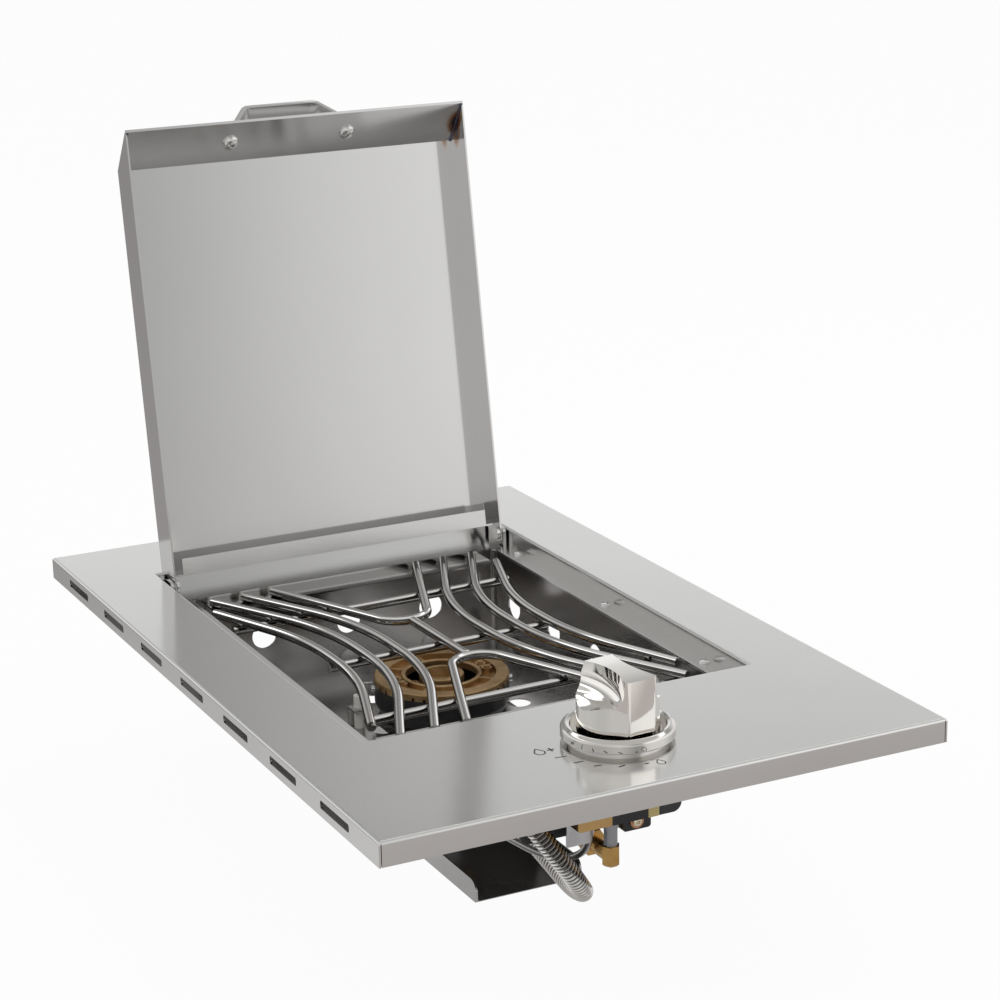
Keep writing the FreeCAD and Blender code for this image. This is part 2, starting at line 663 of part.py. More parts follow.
def make_burner_inlet():
    """Brass jet holder under the tub: a flange at the floor and an elbow that faces the front."""
    body = new_body("burner_inlet")
    flange = new_sketch(body, "XY", f"-{TUB_UNDER} - feed_flange_thick")
    add_round(flange, "0", "0", "feed_flange")
    pad(body, flange, "feed_flange_thick")
    drop = new_sketch(body, "XY", "-feed_drop")
    add_round(drop, "0", "0", "feed")
    pad(body, drop, "feed_drop - tub_floor")
    leg = new_sketch(body, "XZ")
    add_round(leg, "0", "-feed_drop", "feed")
    pad(body, leg, "burner_y - feed_front")
    spin_ball(body, "feed")
    bore = new_sketch(body, "XZ", "burner_y - feed_front")
    add_round(bore, "0", "-feed_drop", "feed_bore")
    cut(body, bore, "burner_y - feed_front")
    riser = new_sketch(body, "XY", "-tub_floor")
    add_round(riser, "0", "0", "feed_bore")
    cut(body, riser, "feed_drop - tub_floor")
    place(body, along="burner_y")
    return body


def spin_ball(body, radius):
    """Round the elbow's outer corner with a ball of the pipe's own radius."""
    ball = body.newObject("PartDesign::AdditiveSphere", body.Label + "_ball")
    tie(ball, "Radius", radius)
    tie(ball, "AttachmentOffset.Base.z", "-feed_drop")
    ball.AttachmentSupport = (origin_plane(body, "XY"), [""])
    ball.MapMode = "FlatFace"
    doc.recompute()
    return ball


def make_igniter_ceramic():
    """White ceramic tube beside the burner, up through the tub's floor."""
    body = new_body("igniter_ceramic")
    tube = new_sketch(body, "XY", "-ceramic_foot")
    add_round(tube, "0", "0", "ceramic")
    add_round(tube, "0", "0", "wire")
    pad(body, tube, "ceramic_foot - ceramic_top")
    place(body, across="-spark_x", along="spark_y")
    return body


def make_igniter_wire():
    """Electrode wire: up out of the ceramic and over towards the flame ring."""
    body = new_body("igniter_wire")
    path = new_sketch(body, "XZ")
    add_loop(path, [("0", "-ceramic_foot"), ("0", "-wire_top", "4"), ("wire_reach", "-wire_top - 1")],
             closed=False)
    section = new_sketch(body, "XY", "-ceramic_foot")
    add_round(section, "0", "0", "wire")
    pipe(body, section, path)
    place(body, across="-spark_x", along="spark_y")
    return body


def make_igniter_bracket():
    """Bent strap on the tub's floor that holds the ceramic."""
    body = new_body("igniter_bracket")
    foot = new_sketch(body, "XY", "-tub_floor")
    add_box(foot, "-strap_wide/2", "strap_wide/2", "ceramic + 0.2", "ceramic + strap_wide")
    pad(body, foot, "strap_thick")
    post = new_sketch(body, "XY", "-tub_floor")
    add_box(post, "-strap_wide/2", "strap_wide/2", "ceramic + 0.2", "ceramic + 0.2 + strap_thick")
    pad(body, post, "tub_floor - ceramic_top - 8")
    collar = new_sketch(body, "XY", "-ceramic_top - 8 - strap_thick")
    add_box(collar, "-strap_wide/2", "strap_wide/2", "-ceramic - 3", "ceramic + 0.2")
    add_round(collar, "0", "0", "ceramic")
    pad(body, collar, "strap_thick")
    place(body, across="-spark_x", along="spark_y")
    return body


def make_knob_bezel():
    """Round bezel on the plate: narrow foot, bulging rim and the recess that the knob sinks into."""
    body = new_body("knob_bezel")
    outline = new_sketch(body, "XZ")
    add_loop(outline, [("bezel_hole", "0"), ("bezel_base", "0"), ("bezel_base", "rim_foot"),
                       ("bezel", "rim_foot", "0.8"), ("bezel", "bezel_high - rim_fall", "2.5"),
                       ("bezel_inner + 2.5", "bezel_high", "1.5"), ("bezel_inner", "bezel_high - 1", "0.6"),
                       ("bezel_inner", "bezel_floor"), ("bezel_hole", "bezel_floor")])
    spin(body, outline)
    place(body, along="-knob_y", up=TOP)
    return body


def scoop_side(body, side):
    """Hollow one side of the knob, leaving half of its grip bar."""
    scoop = new_sketch(body, "XZ")
    tie(scoop, "AttachmentOffset.Base.x", f"{side}(scoop + waist_half)")
    flip = "-" if side == "" else ""
    add_loop(scoop, [(f"{flip}scoop", "knob_top + 2"), (f"{flip}(scoop - 1.6*knob_round)", "knob_top + 2"),
                     (f"{flip}(scoop - 1.6*knob_round)", "shoulder - 2*scoop_fall"),
                     (f"{flip}(scoop - knob_round)", "shoulder - scoop_fall"),
                     (f"{flip}scoop", "shoulder + 1.5", "scoop_bend")])
    spin(body, scoop, "Groove")


def make_knob():
    """Turned knob with a flat nose, hollowed on both sides to leave a grip bar, open underneath."""
    body = new_body("knob")
    round_part = new_sketch(body, "XY", "knob_foot")
    add_round(round_part, "0", "0", "knob_round")
    pad(body, round_part, "knob_top - knob_foot")
    nose = new_sketch(body, "XY", "knob_foot")
    add_loop(nose, [("-facet_x", "-facet_y"), ("-bar_half", "-nose"), ("bar_half", "-nose"),
                    ("facet_x", "-facet_y"), ("0", "0")])
    pad(body, nose, "knob_top - knob_foot")
    scoop_side(body, "-")
    scoop_side(body, "")
    back = new_sketch(body, "YZ")
    add_loop(back, [("tail", "knob_top"), ("tail", "knob_top + 2"), ("knob_round + 3", "knob_top + 2"),
                    ("knob_round + 3", "shoulder"), ("knob_round", "shoulder")])
    cut(body, back, "3*knob_round", middle=True)
    inside = new_sketch(body, "XY", "knob_foot")
    add_round(inside, "0", "0", "knob_round - knob_wall")
    add_round(inside, "0", "0", "knob_hub")
    cut(body, inside, "shoulder - knob_foot - knob_roof", back=True)
    bore = new_sketch(body, "XY", "knob_foot")
    add_round(bore, "0", "0", "spindle")
    cut(body, bore, "spindle_in_knob", back=True)
    place(body, along="-knob_y", up=TOP, axis=(0, 0, 1), angle="knob_turn")
    return body


def make_valve_spindle():
    """Stem from the knob down into the plug's socket."""
    body = new_body("valve_spindle")
    stem = new_sketch(body, "XY", "-spindle_foot")
    add_round(stem, "0", "0", "spindle")
    pad(body, stem, "spindle_foot + plate_deep + knob_foot + spindle_in_knob")
    place(body, along="-knob_y")
    return body


def make_valve_plug():
    """Tapered plug that the stem turns, with a socket deep enough for the stem's push."""
    body = new_body("valve_plug")
    outline = new_sketch(body, "XZ")
    add_loop(outline, [("0", "-plug_top - plug_high"), ("plug_narrow", "-plug_top - plug_high"),
                       ("plug_wide", "-plug_top"), ("spindle + run_gap", "-plug_top"),
                       ("spindle + run_gap", "-plug_top - plug_socket"),
                       ("0", "-plug_top - plug_socket")])
    spin(body, outline)
    gas_way = new_sketch(body, "YZ")
    add_round(gas_way, "0", "gas_way_up - plug_top - plug_high", "gas_way")
    cut(body, gas_way, "3*plug_wide", middle=True)
    place(body, along="-knob_y")
    return body


def make_gas_valve_body():
    """Brass valve: block with the plug's bore, a lug and an ear to the bracket, an arm up to the outlet."""
    body = new_body("gas_valve_body")
    block = new_sketch(body, "XY", "-valve_foot")
    add_box(block, "-valve_left", "valve_right", "-valve_half", "valve_half", "2")
    pad(body, block, "valve_foot - valve_top")
    lug = new_sketch(body, "XZ")
    add_box(lug, "-lug_half", "lug_half", "-lug_foot", "-lug_top")
    pad(body, lug, "knob_y - bracket_y", back=True)
    ear = new_sketch(body, "XZ", "bracket_y - knob_y")
    add_box(ear, "ear_left", "ear_right", "-ear_foot", "-valve_foot + 2", "2")
    pad(body, ear, "ear_deep")
    web = new_sketch(body, "XZ", "bracket_y - knob_y")
    add_box(web, "ear_left", "valve_right", "-valve_foot + 1", "-valve_foot + 8")
    pad(body, web, "knob_y - bracket_y - valve_half + 1")
    middle = "(knob_y - outlet_y)"
    arm = new_sketch(body, "YZ", "-outlet_x - outlet_long*sin(outlet_lean) - outlet")
    add_box(arm, f"{middle} - arm_half", f"{middle} + arm_half", "outlet_top", "arm_top", "1.5")
    pad(body, arm, "outlet_x + outlet_long*sin(outlet_lean) + outlet - valve_left")
    riser = new_sketch(body, "XY", "-riser_foot")
    add_box(riser, "-riser_left", "2 - valve_left", f"{middle} - arm_half", f"{middle} + arm_half")
    pad(body, riser, "riser_foot + arm_top - 2")
    stub = new_sketch(body, "XY")
    lean_outlet(stub, "AttachmentOffset", middle)
    add_round(stub, "0", "0", "outlet")
    pad(body, stub, "outlet_long - nut_long + 1")
    bore = new_sketch(body, "XZ")
    add_loop(bore, [("0", "-plug_top - plug_high - 1"),
                    ("plug_narrow + run_gap", "-plug_top - plug_high - 1"),
                    ("plug_wide + run_gap", "-plug_top"), ("plug_wide + run_gap", "-valve_top + 1"),
                    ("0", "-valve_top + 1")])
    spin(body, bore, "Groove")
    screw = new_sketch(body, "XZ", "bracket_y - knob_y + ear_deep")
    add_round(screw, "valve_screw_x", "-valve_screw_z", "valve_screw_shank + hole_gap")
    cut(body, screw, "ear_deep")
    place(body, along="-knob_y")
    return body


def make_valve_bonnet():
    """Brass cap that keeps the plug in the valve and guides the stem."""
    body = new_body("valve_bonnet")
    block = new_sketch(body, "XY", "-valve_top")
    add_box(block, "-bonnet_half", "bonnet_half", "-valve_half", "valve_half", "3")
    add_round(block, "0", "0", "spindle + bonnet_bore_gap")
    pad(body, block, "bonnet_high")
    place(body, along="-knob_y")
    return body


def make_valve_bracket():
    """Black bracket behind the valve: a leg down and a flange up against the plate."""
    body = new_body("valve_bracket")
    leg = new_sketch(body, "XZ", "bracket_y - bracket_thick")
    add_loop(leg, [("-bracket_half", "-bracket_foot", "bracket_round"),
                   ("bracket_half", "-bracket_foot", "bracket_round"), ("bracket_half", UNDER),
                   ("-bracket_half", UNDER)])
    pad(body, leg, "bracket_thick")
    flange = new_sketch(body, "XZ", "bracket_y - bracket_flange")
    add_box(flange, "-bracket_half", "bracket_half", f"{UNDER} - bracket_thick", UNDER)
    pad(body, flange, "bracket_flange")
    screw = new_sketch(body, "XZ", "bracket_y - bracket_thick")
    add_round(screw, "valve_screw_x", "-valve_screw_z", "valve_screw_shank + hole_gap")
    cut(body, screw, "bracket_thick", back=True)
    return body


def make_valve_screws():
    """Screw that holds the valve's ear to the bracket, its head to the front."""
    body = new_body("valve_screws")
    head = new_sketch(body, "XZ", "bracket_y + ear_deep")
    add_round(head, "valve_screw_x", "-valve_screw_z", "valve_screw")
    pad(body, head, "valve_screw_head")
    shank = new_sketch(body, "XZ", "bracket_y - 2*bracket_thick")
    add_round(shank, "valve_screw_x", "-valve_screw_z", "valve_screw_shank")
    pad(body, shank, "ear_deep + 2*bracket_thick + 0.5")
    return body


def lean_outlet(target, path, along):
    """Put a sketch or a body on the outlet's slanted axis, at the nut's far end or at the hose."""
    setattr(target, path, FreeCAD.Placement(V(0, 0, 0), FreeCAD.Rotation(V(0, -1, 0), 1)))
    start = "nut_long" if path == "AttachmentOffset" else "0"
    tie(target, path + ".Rotation.Angle", "outlet_lean")
    tie(target, path + ".Base.x", f"-outlet_x - {start}*sin(outlet_lean)")
    tie(target, path + ".Base.y", along)
    tie(target, path + ".Base.z", f"{start}*cos(outlet_lean) - outlet_z")


def make_hose_nut_valve():
    """Hex flare nut on the slanted outlet, its foot where the hose begins."""
    body = new_body("hose_nut_valve")
    nut = new_sketch(body, "XY")
    add_hexagon(nut, "nut")
    add_round(nut, "0", "0", "hose_bore")
    pad(body, nut, "nut_long")
    lean_outlet(body, "Placement", "-outlet_y")
    return body


def add_hexagon(sketch, across):
    """Hexagon round the sketch's origin, with that distance from the middle to each flat."""
    corners = [(f"{across}/cos(30)*cos({60 * i})", f"{across}/cos(30)*sin({60 * i})")
               for i in range(6)]
    corners[0] = (f"{across}/cos(30)", "0")
    corners[3] = (f"-{across}/cos(30)", "0")
    return add_loop(sketch, corners)


def make_hose_nut_burner():
    """Hex flare nut on the jet holder's elbow."""
    body = new_body("hose_nut_burner")
    nut = new_sketch(body, "XZ", "-feed_front")
    add_hexagon(nut, "nut")
    add_round(nut, "0", "0", "hose_bore")
    pad(body, nut, "nut_long")
    place(body, up="-feed_drop")
    return body


def make_inlet_pipe():
    """Zinc-grey gas pipe down from its collar at the valve to the elbow."""
    body = new_body("inlet_pipe")
    for radius, foot, high in (("inlet_pipe", "valve_foot + inlet_pipe_long", "inlet_pipe_long"),
                               ("inlet_collar", "valve_foot + inlet_collar_long", "inlet_collar_long")):
        tube = new_sketch(body, "XY", f"-({foot})")
        add_round(tube, "0", "0", radius)
        add_round(tube, "0", "0", "inlet_bore")
        pad(body, tube, high)
    place(body, across="-inlet_x", along="-inlet_y")
    return body


def make_inlet_elbow():
    """Brass elbow whose second leg faces the back."""
    body = new_body("inlet_elbow")
    block = new_sketch(body, "XY", "-valve_foot - inlet_pipe_long - elbow_high")
    add_hexagon(block, "elbow")
    pad(body, block, "elbow_high")
    foot = "-valve_foot - inlet_pipe_long - elbow_high"
    slope_edges(body, "elbow_slope", lambda edge: flat_at(edge, foot))
    leg = new_sketch(body, "XZ")
    middle = "-inlet_axis"
    add_round(leg, "0", middle, "elbow")
    pad(body, leg, "inlet_y - inlet_end", back=True)
    bore = new_sketch(body, "XZ")
    add_round(bore, "0", middle, "inlet_bore")
    cut(body, bore, "inlet_y - inlet_end", back=False)
    down = new_sketch(body, "XY", "-valve_foot - inlet_pipe_long")
    add_round(down, "0", "0", "inlet_bore")
    cut(body, down, "elbow_high/2")
    place(body, across="-inlet_x", along="-inlet_y")
    return body


def make_inlet_nut():
    """Hex nut on the elbow, where the supply line screws on."""
    body = new_body("inlet_nut")
    nut = new_sketch(body, "XZ", "inlet_end")
    add_hexagon(nut, "inlet_nut")
    add_round(nut, "0", "0", "inlet_bore")
    pad(body, nut, "inlet_nut_long", back=True)
    place(body, across="-inlet_x", up="-inlet_axis")
    return body


def make_piezo_module():
    """Spark maker between the valve and its bracket."""
    body = new_body("piezo_module")
    block = new_sketch(body, "XZ", "bracket_y")
    add_box(block, "-piezo_x - piezo_half", "piezo_half - piezo_x", "-piezo_foot", "-piezo_top", "1")
    pad(body, block, "piezo_deep")
    return body


def make_module_clip():
    """Folded zinc clip under the valve's left end."""
    body = new_body("module_clip")
    tab = new_sketch(body, "XY", "-valve_foot - clip_thick")
    add_box(tab, "-clip_left", "-clip_right", "-knob_y", "-knob_y + clip_tab")
    pad(body, tab, "clip_thick")
    leg = new_sketch(body, "XZ", "knob_y - clip_tab")
    add_box(leg, "-clip_left", "-clip_right", "-clip_foot", "-valve_foot", "1")
    pad(body, leg, "clip_thick")
    return body


def make_heat_tray():
    """Folded channel below the burner: low open front, and hangers up to the tub's floor."""
    body = new_body("heat_tray")
    side = new_sketch(body, "YZ", "-tray_left - sheet")
    foot = "-tray_floor - sheet"
    add_loop(side, [("-tray_front", foot, "2"), ("hanger_back", foot), ("hanger_back", f"-{TUB_UNDER}"),
                    ("-hanger_front", f"-{TUB_UNDER}"), ("-tray_low_end", "tray_wall - tray_floor", "8"),
                    ("-tray_front", "tray_wall - tray_floor", "tray_round")])
    pad(body, side, "tray_left + tray_right + 2*sheet")
    channel = new_sketch(body, "XZ", "tray_front + 5")
    add_box(channel, "-tray_left", "tray_right", "-tray_floor", "10", "1.5")
    cut(body, channel, "tray_front + hanger_back + 10")
    wings = new_sketch(body, "XY", f"-{TUB_UNDER} - sheet")
    add_box(wings, "-tray_left - sheet - tray_flange", "-tray_left", "-hanger_front", "hanger_back")
    add_box(wings, "tray_right", "tray_right + sheet + tray_flange", "-hanger_front", "hanger_back")
    pad(body, wings, "sheet")
    holes = add_rounds(new_sketch(body, "XY", f"-{TUB_UNDER}"), tray_spots(),
                       "tray_screw_shank + hole_gap")
    cut(body, holes, "sheet")
    return body


def tray_spots():
    """Where the four screws hold the tray's flanges under the tub."""
    middle = "(sheet + tray_flange/2)"
    return [(across, along)
            for across in (f"-tray_left - {middle}", f"tray_right + {middle}")
            for along in ("15 - hanger_front", "hanger_back - 15")]


def make_tray_screws():
    body = new_body("tray_screws")
    top = f"-{TUB_UNDER} - sheet"
    heads = add_rounds(new_sketch(body, "XY", top), tray_spots(), "tray_screw")
    pad(body, heads, "tray_screw_high", back=True)
    shanks = add_rounds(new_sketch(body, "XY", top), tray_spots(), "tray_screw_shank")
    pad(body, shanks, "sheet")
    return body


def open_lid(body):
    """Stand a piece of the closed lid up round the hinge's axis."""
    place(body, along="hinge_y", up="hinge_up", axis=(-1, 0, 0), angle="lid_lean")
    return body


def make_lid_shell():
    """Folded lid: skin, upright side walls with ears at the hinge, slanted front and a rear wall."""
    body = new_body("lid_shell")
    side = new_sketch(body, "YZ")
    nose = "(lid_slant - lid_long)"
    add_loop(side, [("ear", "-lid_low", "3.5"), ("ear", "2", "5"), ("-lid_back", "lid_high", "1"),
                    (nose, "lid_high"), ("-lid_long", "-lid_low")])
    pad(body, side, "2*lid_half", middle=True)
    hollow = new_sketch(body, "YZ")
    inner = "(lid_high - lid_sheet)"
    fall = "(lid_slant/(lid_high + lid_low))"
    skew = "(lid_sheet*sqrt(1 + (lid_slant/(lid_high + lid_low))^2))"
    add_loop(hollow, [("-lid_back - lid_sheet", inner), (f"{nose} - {fall}*lid_sheet + {skew}", inner),
                      (f"-lid_long - {fall}*2 + {skew}", "-lid_low - 2"),
                      ("-lid_back - lid_sheet", "-lid_low - 2")])
    cut(body, hollow, "2*(lid_half - lid_sheet)", middle=True)
    mouth = new_sketch(body, "YZ")
    add_loop(mouth, [("-lid_back - lid_sheet - 1", "lid_high - rear_deep"), ("ear + 1", "lid_high - rear_deep"),
                     ("ear + 1", "-lid_low - 2"), ("-lid_back - lid_sheet - 1", "-lid_low - 2")])
    cut(body, mouth, "2*(lid_half - lid_sheet)", middle=True)
    behind = new_sketch(body, "YZ")
    add_loop(behind, [("-lid_back", "lid_high - rear_deep - 1"), ("ear + 1", "lid_high - rear_deep - 1"),
                      ("ear + 1", "lid_high + 1"), ("-lid_back", "lid_high + 1")])
    cut(body, behind, "2*(lid_half - lid_sheet)", middle=True)
    lip = new_sketch(body, "YZ")
    lip_z = "(lid_high - rear_deep)"
    add_box(lip, "-lid_back - rear_flange", "-lid_back", lip_z, f"{lip_z} + lid_sheet")
    pad(body, lip, "2*(lid_half - lid_sheet - 8)", middle=True)
    bores = new_sketch(body, "YZ")
    add_round(bores, "0", "0", "pivot + pivot_gap")
    cut(body, bores, "2*lid_half + 1", middle=True)
    holes = new_sketch(body, "XY")
    lie_on_front(holes, "AttachmentOffset", "0")
    add_rounds(holes, handle_spots(), "handle_shank + hole_gap")
    cut(body, holes, "4*lid_sheet", middle=True)
    return open_lid(body)


FRONT_TILT = "atan((lid_high + lid_low)/lid_slant)"
FRONT_Y = f"(handle_from_edge*cos({FRONT_TILT}) - lid_long)"
FRONT_Z = f"(handle_from_edge*sin({FRONT_TILT}) - lid_low)"


def handle_spots():
    return [("-handle_half", "0"), ("handle_half", "0")]


def lie_on_front(target, path, turned):
    """Put a sketch or a body on the lid's slanted front, turned back by an angle about the hinge."""
    setattr(target, path, FreeCAD.Placement(V(0, 0, 0), FreeCAD.Rotation(V(1, 0, 0), 1)))
    tie(target, path + ".Rotation.Angle", f"{FRONT_TILT} - {turned}*1deg")
    tie(target, path + ".Base.y", f"{FRONT_Y}*cos({turned}) + {FRONT_Z}*sin({turned})")
    tie(target, path + ".Base.z", f"{FRONT_Z}*cos({turned}) - {FRONT_Y}*sin({turned})")


def open_front(body):
    """Stand a piece that lies on the lid's front up with the open lid."""
    lie_on_front(body, "Placement", "lid_lean")
    tie(body, "Placement.Base.y", f"hinge_y + {FRONT_Y}*cos(lid_lean) + {FRONT_Z}*sin(lid_lean)")
    tie(body, "Placement.Base.z", f"hinge_up + {FRONT_Z}*cos(lid_lean) - {FRONT_Y}*sin(lid_lean)")
    return body


def make_lid_handle():
    """Flat strap bent to a low arch, its two feet on the lid's slanted front."""
    body = new_body("lid_handle")
    outline = new_sketch(body, "XZ")
    toe = "(handle_half + handle_foot)"
    heel = "(handle_half - handle_foot*0.6)"
    thick = "handle_thick"
    top = "(handle_off + handle_thick)"
    add_loop(outline, [(f"-{toe}", "0"), (f"-{heel}", "0", "handle_bend"),
                       ("-handle_grip", "handle_off", "handle_bend"),
                       ("handle_grip", "handle_off", "handle_bend"), (heel, "0", "handle_bend"),
                       (toe, "0"), (toe, thick),
                       (f"{heel} + {thick}*0.6", thick, "handle_bend"),
                       (f"handle_grip + {thick}*0.6", top, "handle_bend"),
                       (f"-handle_grip - {thick}*0.6", top, "handle_bend"),
                       (f"-{heel} - {thick}*0.6", thick, "handle_bend"), (f"-{toe}", thick)])
    pad(body, outline, "handle_wide", middle=True)
    holes = add_rounds(new_sketch(body, "XY", thick), handle_spots(), "handle_shank")
    cut(body, holes, thick)
    return open_front(body)


def make_handle_screws():
    """Dome screws from inside the lid into the handle's feet."""
    body = new_body("handle_screws")
    heads = add_rounds(new_sketch(body, "XY", "-lid_sheet - handle_screw_high"), handle_spots(),
                       "handle_screw")
    pad(body, heads, "handle_screw_high")
    slope_edges(body, "handle_screw_high*0.6",
                lambda edge: flat_at(edge, "-lid_sheet - handle_screw_high"))
    shanks = add_rounds(new_sketch(body, "XY", "-lid_sheet"), handle_spots(), "handle_shank")
    pad(body, shanks, "lid_sheet + handle_thick")
    return open_front(body)


def make_hinge_tab(label, side):
    """Rounded tab that stands on the ledge beside the lid and carries its pivot."""
    body = new_body(label)
    inner = "(lid_half + tab_gap)"
    face = new_sketch(body, "YZ", f"{side}{inner}")
    foot = f"({LEDGE} - hinge_up)"
    add_loop(face, [("-tab_round", foot), ("tab_long - tab_round", foot),
                    ("tab_long - tab_round", "0", "3"), ("tab_round", "tab_round", "tab_round*0.9"),
                    ("-tab_round", "tab_round", "tab_round*0.9")])
    add_round(face, "0", "0", "pivot")
    pad(body, face, "tab_thick", back=side == "-")
    place(body, along="hinge_y", up="hinge_up")
    return body


def make_pivot_bolts():
    """Bolts that the lid turns on, their dome heads inside it."""
    body = new_body("pivot_bolts")
    inner = "(lid_half - lid_sheet - tab_gap/2)"
    head = new_sketch(body, "YZ", f"{inner} - pivot_head_high")
    add_round(head, "0", "0", "pivot_head")
    heads = pad(body, head, "pivot_head_high")
    shank = new_sketch(body, "YZ", inner)
    add_round(shank, "0", "0", "pivot")
    shanks = pad(body, shank, "lid_half + tab_gap + tab_thick - (lid_half - lid_sheet - tab_gap/2)")
    mirror(body, [heads, shanks], "YZ")
    place(body, along="hinge_y", up="hinge_up")
    return body


def outlet_point(away):
    """Point on the slanted outlet's axis, that far out from the nut's foot."""
    lean = math.radians(at("outlet_lean"))
    return V(-at("outlet_x") + away * math.sin(lean), -at("outlet_y"),
             -at("outlet_z") - away * math.cos(lean))


def hose_route():
    """Points of the gas hose, from the valve's nut down in a bend and back to the burner's nut."""
    end = V(0, at("feed_front - nut_long"), -at("feed_drop"))
    return [outlet_point(0), outlet_point(22), V(-29, -205.5, -66), V(-15, -197, -85),
            V(-5, -182, -97), V(-0.5, -158, -104), V(1, -126, -99), V(1, -94, -93),
            V(0, -60, -89.5), end + V(0, -26, 0), end]


def lead_route():
    """Points of the spark lead, from its maker back under the tub's left side and up to the electrode."""
    start = V(-at("piezo_x"), -at("bracket_y + piezo_deep/2"), -at("piezo_foot"))
    end = V(-at("spark_x"), at("spark_y"), -at("ceramic_foot"))
    return [start, start + V(0, 0, -12), V(-16, -194, -66.5), V(-29, -181, -69), V(-43, -160, -62),
            V(-51, -134, -57.5), V(-56, -104, -55.5), V(-59, -72, -58), V(-61, -47, -65),
            end + V(0, -47, -14.5), end + V(0, -29, -23.5), end + V(0, -15, -24),
            end + V(0, -5, -18.7), end + V(0, 0, -10), end]


def route_wire(points):
    """Straight runs joined by tangent arcs, each arc as large as its two runs allow."""
    edges = []
    radii = []
    start = points[0]
    for before, corner, after in zip(points, points[1:], points[2:]):
        half = math.pi / 2 - (before - corner).getAngle(after - corner) / 2
        radius = 0.45 * min((before - corner).Length, (after - corner).Length) / math.tan(half)
        leave, join, centre = bend_at(before, corner, after, radius)
        middle = centre + (corner - centre).normalize() * radius
        edges.append(Part.LineSegment(start, leave).toShape())
        edges.append(Part.Arc(leave, middle, join).toShape())
        start = join
        radii.append(radius)
    edges.append(Part.LineSegment(start, points[-1]).toShape())
    return Part.Wire(edges), radii


def tube_along(wire, points, radius):
    """Solid round tube along a route's wire."""
    ring = Part.Wire([Part.Circle(points[0], points[1] - points[0], at(radius)).toShape()])
    return wire.makePipeShell([ring], True, False)


def keep_solid(label, shape):
    """Document object for a solid that no sketch can carry."""
    feature = doc.addObject("Part::Feature", label)
    feature.Label = label
    feature.Shape = shape
    return feature


def spot_along(wire, distance):
    """Point and direction of a route at a distance from its start."""
    for edge in wire.OrderedEdges:
        if distance <= edge.Length:
            break
        distance -= edge.Length
    place_on = edge.getParameterByLength(min(distance, edge.Length))
    return edge.valueAt(place_on), edge.tangentAt(place_on)


def rib_ring(wire, distance, radius, steady):
    """Circle across the route, turned so that its seam keeps to one side all the way."""
    centre, ahead = spot_along(wire, distance)
    side = (steady - ahead * steady.dot(ahead)).normalize()
    ring = Part.makeCircle(radius)
    ring.Placement = FreeCAD.Placement(centre, FreeCAD.Rotation(side, ahead.cross(side), ahead, "ZXY"))
    return Part.Wire([ring])


def make_flexible_hose():
    """Ribbed gas hose: a ruled loft through four circles for each rib, smooth cuffs and the bore."""
    points = hose_route()
    wire, radii = route_wire(points)
    cuff = at("hose_cuff")
    count = int((wire.Length - 2 * cuff) / at("hose_pitch"))
    pitch = (wire.Length - 2 * cuff) / count
    crest = at("hose")
    root = at("hose_root")
    rings = [(0, crest), (cuff - pitch * 0.1, crest)]
    for rib in range(count):
        start = cuff + rib * pitch
        rings += [(start + pitch * share, radius)
                  for share, radius in ((0.1, root), (0.35, crest), (0.65, crest), (0.9, root))]
    rings += [(wire.Length - cuff + pitch * 0.1, crest), (wire.Length, crest)]
    lean = math.radians(at("outlet_lean"))
    steady = V(math.cos(lean), 0, math.sin(lean))
    skin = Part.makeLoft([rib_ring(wire, *ring, steady) for ring in rings], True, True)
    print(f"flexible_hose: {wire.Length:.0f} long, {count} ribs, radii", [round(r) for r in radii])
    return keep_solid("flexible_hose", skin.cut(tube_along(wire, points, "hose_bore")))


def make_igniter_lead():
    """Plain round lead of the spark electrode."""
    points = lead_route()
    wire, radii = route_wire(points)
    print(f"igniter_lead: {wire.Length:.0f} long, radii", [round(r) for r in radii])
    return keep_solid("igniter_lead", tube_along(wire, points, "lead"))


def build():
    """All nodes of the burner, from the plate inward, then what hangs below and what moves."""
    rear = ("tub_back", "-1")
    front = ("-tub_front", "1")
    return [
        make_top_plate(), make_burner_tub(), make_ledge_screws(),
        make_rest("grate_rest_rear", *rear), make_rest("grate_rest_front", *front),
        make_bowed_rods("grate_outer_rods", "outer_waist", "outer_end", "outer_corner", "outer_reach"),
        make_bowed_rods("grate_second_rods", "second_waist", "second_end", "rod_corner", "grate_reach"),
        make_bowed_rods("grate_third_rods", "third_waist", "third_end", "rod_corner", "grate_reach"),
        make_v_rods(), make_centre_rod(), make_cross_rods(),
        make_burner_bowl(), make_burner_head(), make_head_screws(), make_burner_hub(),
        make_burner_posts(), make_bowl_side_screws(), make_burner_inlet(),
        make_igniter_ceramic(), make_igniter_wire(), make_igniter_bracket(),
        make_knob_bezel(), make_gas_valve_body(), make_valve_bonnet(), make_valve_bracket(),
        make_valve_screws(), make_hose_nut_valve(), make_hose_nut_burner(),
        make_inlet_pipe(), make_inlet_elbow(), make_inlet_nut(),
        make_piezo_module(), make_module_clip(), make_igniter_lead(), make_flexible_hose(),
        make_heat_tray(), make_tray_screws(),
        make_hinge_tab("hinge_tab_left", "-"), make_hinge_tab("hinge_tab_right", ""),
        make_pivot_bolts(), make_lid_shell(), make_lid_handle(), make_handle_screws(),
        make_valve_plug(), make_valve_spindle(), make_knob(),
    ]


